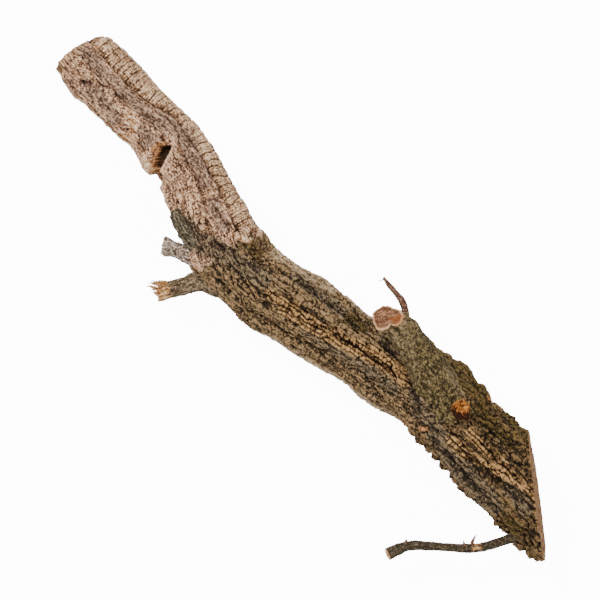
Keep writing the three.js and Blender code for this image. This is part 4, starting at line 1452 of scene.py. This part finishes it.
class BRANCH_OT_fibres(bpy.types.Operator):
    """Builds the torn fibres at the broken stub's end, fanned over its face by the golden angle."""

    bl_idname = "branch.fibres"
    bl_label = "Torn fibres"

    def execute(self, context):
        way = unit(np.array(FIBRE_WAY))
        i, spread = fanned(FIBRE_COUNT, way)
        out = FIBRE_BUNCH * np.sqrt((i + 0.5) / FIBRE_COUNT)
        roots = FIBRE_ROOT + spread * out[:, None]
        length = FIBRE_LENGTH * (0.35 + 0.65 * np.sin(i * 2.4) ** 2) * (1 - 0.25 * (spread[:, 1] < 0))
        tips = roots + unit(way + spread * 0.16 + 0.1 * strewn(i)) * length[:, None]
        radii = 0.7 + 0.6 * np.cos(i * 1.3) ** 2
        spikes("torn_fibres", roots, tips, radii, 0.5 * np.sin(i * 1.1), [splintered_wood()])
        return {"FINISHED"}


class BRANCH_OT_knot(bpy.types.Operator):
    """Builds the knot, a short broken shoot of orange-brown wood with a torn crown."""

    bl_idname = "branch.knot"
    bl_label = "Knot"

    def execute(self, context):
        wood = torn_wood("knot_wood", ["knot"], 0.15)
        chips = torn_wood("knot_chips", ["knot_middle", "knot_light", "torn_middle"], 0.1)
        stem("knot", torn_surface, [wood, wood], 5, rings=18, bump=knot_crown, lobe=math.pi / 2)
        way = unit(np.array(KNOT_FACES))
        i, spread = fanned(SPLINTER_COUNT, way)
        out = SPLINTER_BUNCH * np.sqrt((i + 4.5) / (SPLINTER_COUNT + 4))
        roots = np.array(KNOT[-1][:3]) - 1.2 * way + spread * out[:, None]
        tips = roots + unit(way + 0.45 * spread + 0.45 * strewn(i)) * (2.8 + 2.0 * np.sin(i * 2.1))[:, None]
        spikes("knot_splinters", roots, tips, 0.8 + 0.4 * np.sin(i * 1.9), 0.5 * np.cos(i), [chips])
        return {"FINISHED"}


class BRANCH_OT_twigs(bpy.types.Operator):
    """Builds the long low twig and the short reddish one, with their thorn, buds, torn bark and hair."""

    bl_idname = "branch.twigs"
    bl_label = "Twigs"

    def execute(self, context):
        wood = splintered_wood()
        low, high = [young_bark("twig_bark", "twig"), wood], [red_twig_bark(), wood]
        stem("low_twig", twig_bark, low, 6, bump=torn_face, torn=twig_tear)
        stem("high_twig", twig_bark, high, 7, rings=5)
        roots, tips, radii, bows = (np.array(column, float) for column in zip(*THORN_AND_BUDS))
        spikes("thorn_and_buds", roots, tips, radii, bows, [red_twig_bark()])
        return {"FINISHED"}


class BRANCH_OT_studio(bpy.types.Operator):
    """Builds the pale floor, the soft lights and the camera that looks straight down."""

    bl_idname = "branch.studio"
    bl_label = "Studio"

    def execute(self, context):
        studio, scene = context.scene.branch_studio, context.scene
        mesh = bpy.data.meshes.new("pale_floor")
        mesh.from_pydata([(-3, -3, 0), (3, -3, 0), (3, 3, 0), (-3, 3, 0)], [], [(0, 1, 2, 3)])
        floor = bpy.data.objects.new("pale_floor", mesh)
        scene.collection.objects.link(floor)
        material, graph, shader, _ = new_material("pale_floor")
        shader.inputs["Base Color"].default_value = (0.9, 0.9, 0.9, 1)
        shader.inputs["Roughness"].default_value = 0.9
        seen = graph.add("ShaderNodeLightPath").outputs["Is Camera Ray"]
        glow = graph.mix(seen, (0.0, 0.0, 0.0), (1.0, 1.0, 1.0))
        graph.tree.links.new(glow, shader.inputs["Emission Color"])
        shader.inputs["Emission Strength"].default_value = studio.floor_glow
        mesh.materials.append(material)

        for name, place, size, power in (
            ("key_light", (-0.7, 0.8, 1.5), 0.45, studio.key_power),
            ("fill_light", (0.9, -0.5, 1.2), 1.4, studio.key_power * 0.35),
        ):
            light = bpy.data.lights.new(name, "AREA")
            light.shape, light.size, light.energy = "DISK", size, power
            lamp = bpy.data.objects.new(name, light)
            lamp.location = place
            x, y, z = (-value for value in place)
            lamp.rotation_euler = (math.atan2(math.hypot(x, y), -z), 0, math.atan2(y, x) - math.pi / 2)
            scene.collection.objects.link(lamp)

        world = bpy.data.worlds.new("white_room")
        world.use_nodes = True
        background = world.node_tree.nodes["Background"]
        background.inputs["Color"].default_value = (1, 1, 1, 1)
        room = Graph(world.node_tree)
        seen = room.add("ShaderNodeLightPath").outputs["Is Camera Ray"]
        strength = room.span(seen, 0, 1, studio.sky, studio.floor_glow + studio.sky)
        world.node_tree.links.new(strength, background.inputs["Strength"])
        scene.world = world

        lens = bpy.data.cameras.new("camera")
        lens.sensor_width = SENSOR_WIDTH
        lens.lens = SENSOR_WIDTH * (studio.camera_height - LIMB_HEIGHT * MM) / studio.field
        lens.clip_start, lens.clip_end = 0.05, 20
        camera = bpy.data.objects.new("camera", lens)
        camera.location = (PLAN_SHIFT[0] * MM, PLAN_SHIFT[1] * MM, studio.camera_height)
        scene.collection.objects.link(camera)
        scene.camera = camera
        return {"FINISHED"}


BUILD_ORDER = (
    BRANCH_OT_limb,
    BRANCH_OT_side_limb,
    BRANCH_OT_stubs,
    BRANCH_OT_fibres,
    BRANCH_OT_knot,
    BRANCH_OT_twigs,
    BRANCH_OT_studio,
)


class BRANCH_PT_panel(bpy.types.Panel):
    """Lists the pieces of the branch and the settings behind them."""

    bl_idname = "BRANCH_PT_panel"
    bl_label = "Cork oak branch"
    bl_space_type = "VIEW_3D"
    bl_region_type = "UI"
    bl_category = "Branch"

    def draw(self, context):
        for operator in BUILD_ORDER:
            self.layout.operator(operator.bl_idname)
        for settings in (context.scene.branch_studio, context.scene.branch_colours):
            box = self.layout.box()
            for name in settings.__annotations__:
                box.prop(settings, name)


CLASSES = (BranchColours, StudioSettings, *BUILD_ORDER, BRANCH_PT_panel)


def register():
    for cls in CLASSES:
        bpy.utils.register_class(cls)
    bpy.types.Scene.branch_colours = PointerProperty(type=BranchColours)
    bpy.types.Scene.branch_studio = PointerProperty(type=StudioSettings)


def unregister():
    del bpy.types.Scene.branch_studio
    del bpy.types.Scene.branch_colours
    for cls in reversed(CLASSES):
        bpy.utils.unregister_class(cls)


def main():
    register()
    bpy.ops.branch.studio()
    bpy.ops.branch.limb()
    bpy.ops.branch.side_limb()
    bpy.ops.branch.stubs()
    bpy.ops.branch.fibres()
    bpy.ops.branch.knot()
    bpy.ops.branch.twigs()


if __name__ == "__main__":
    main()
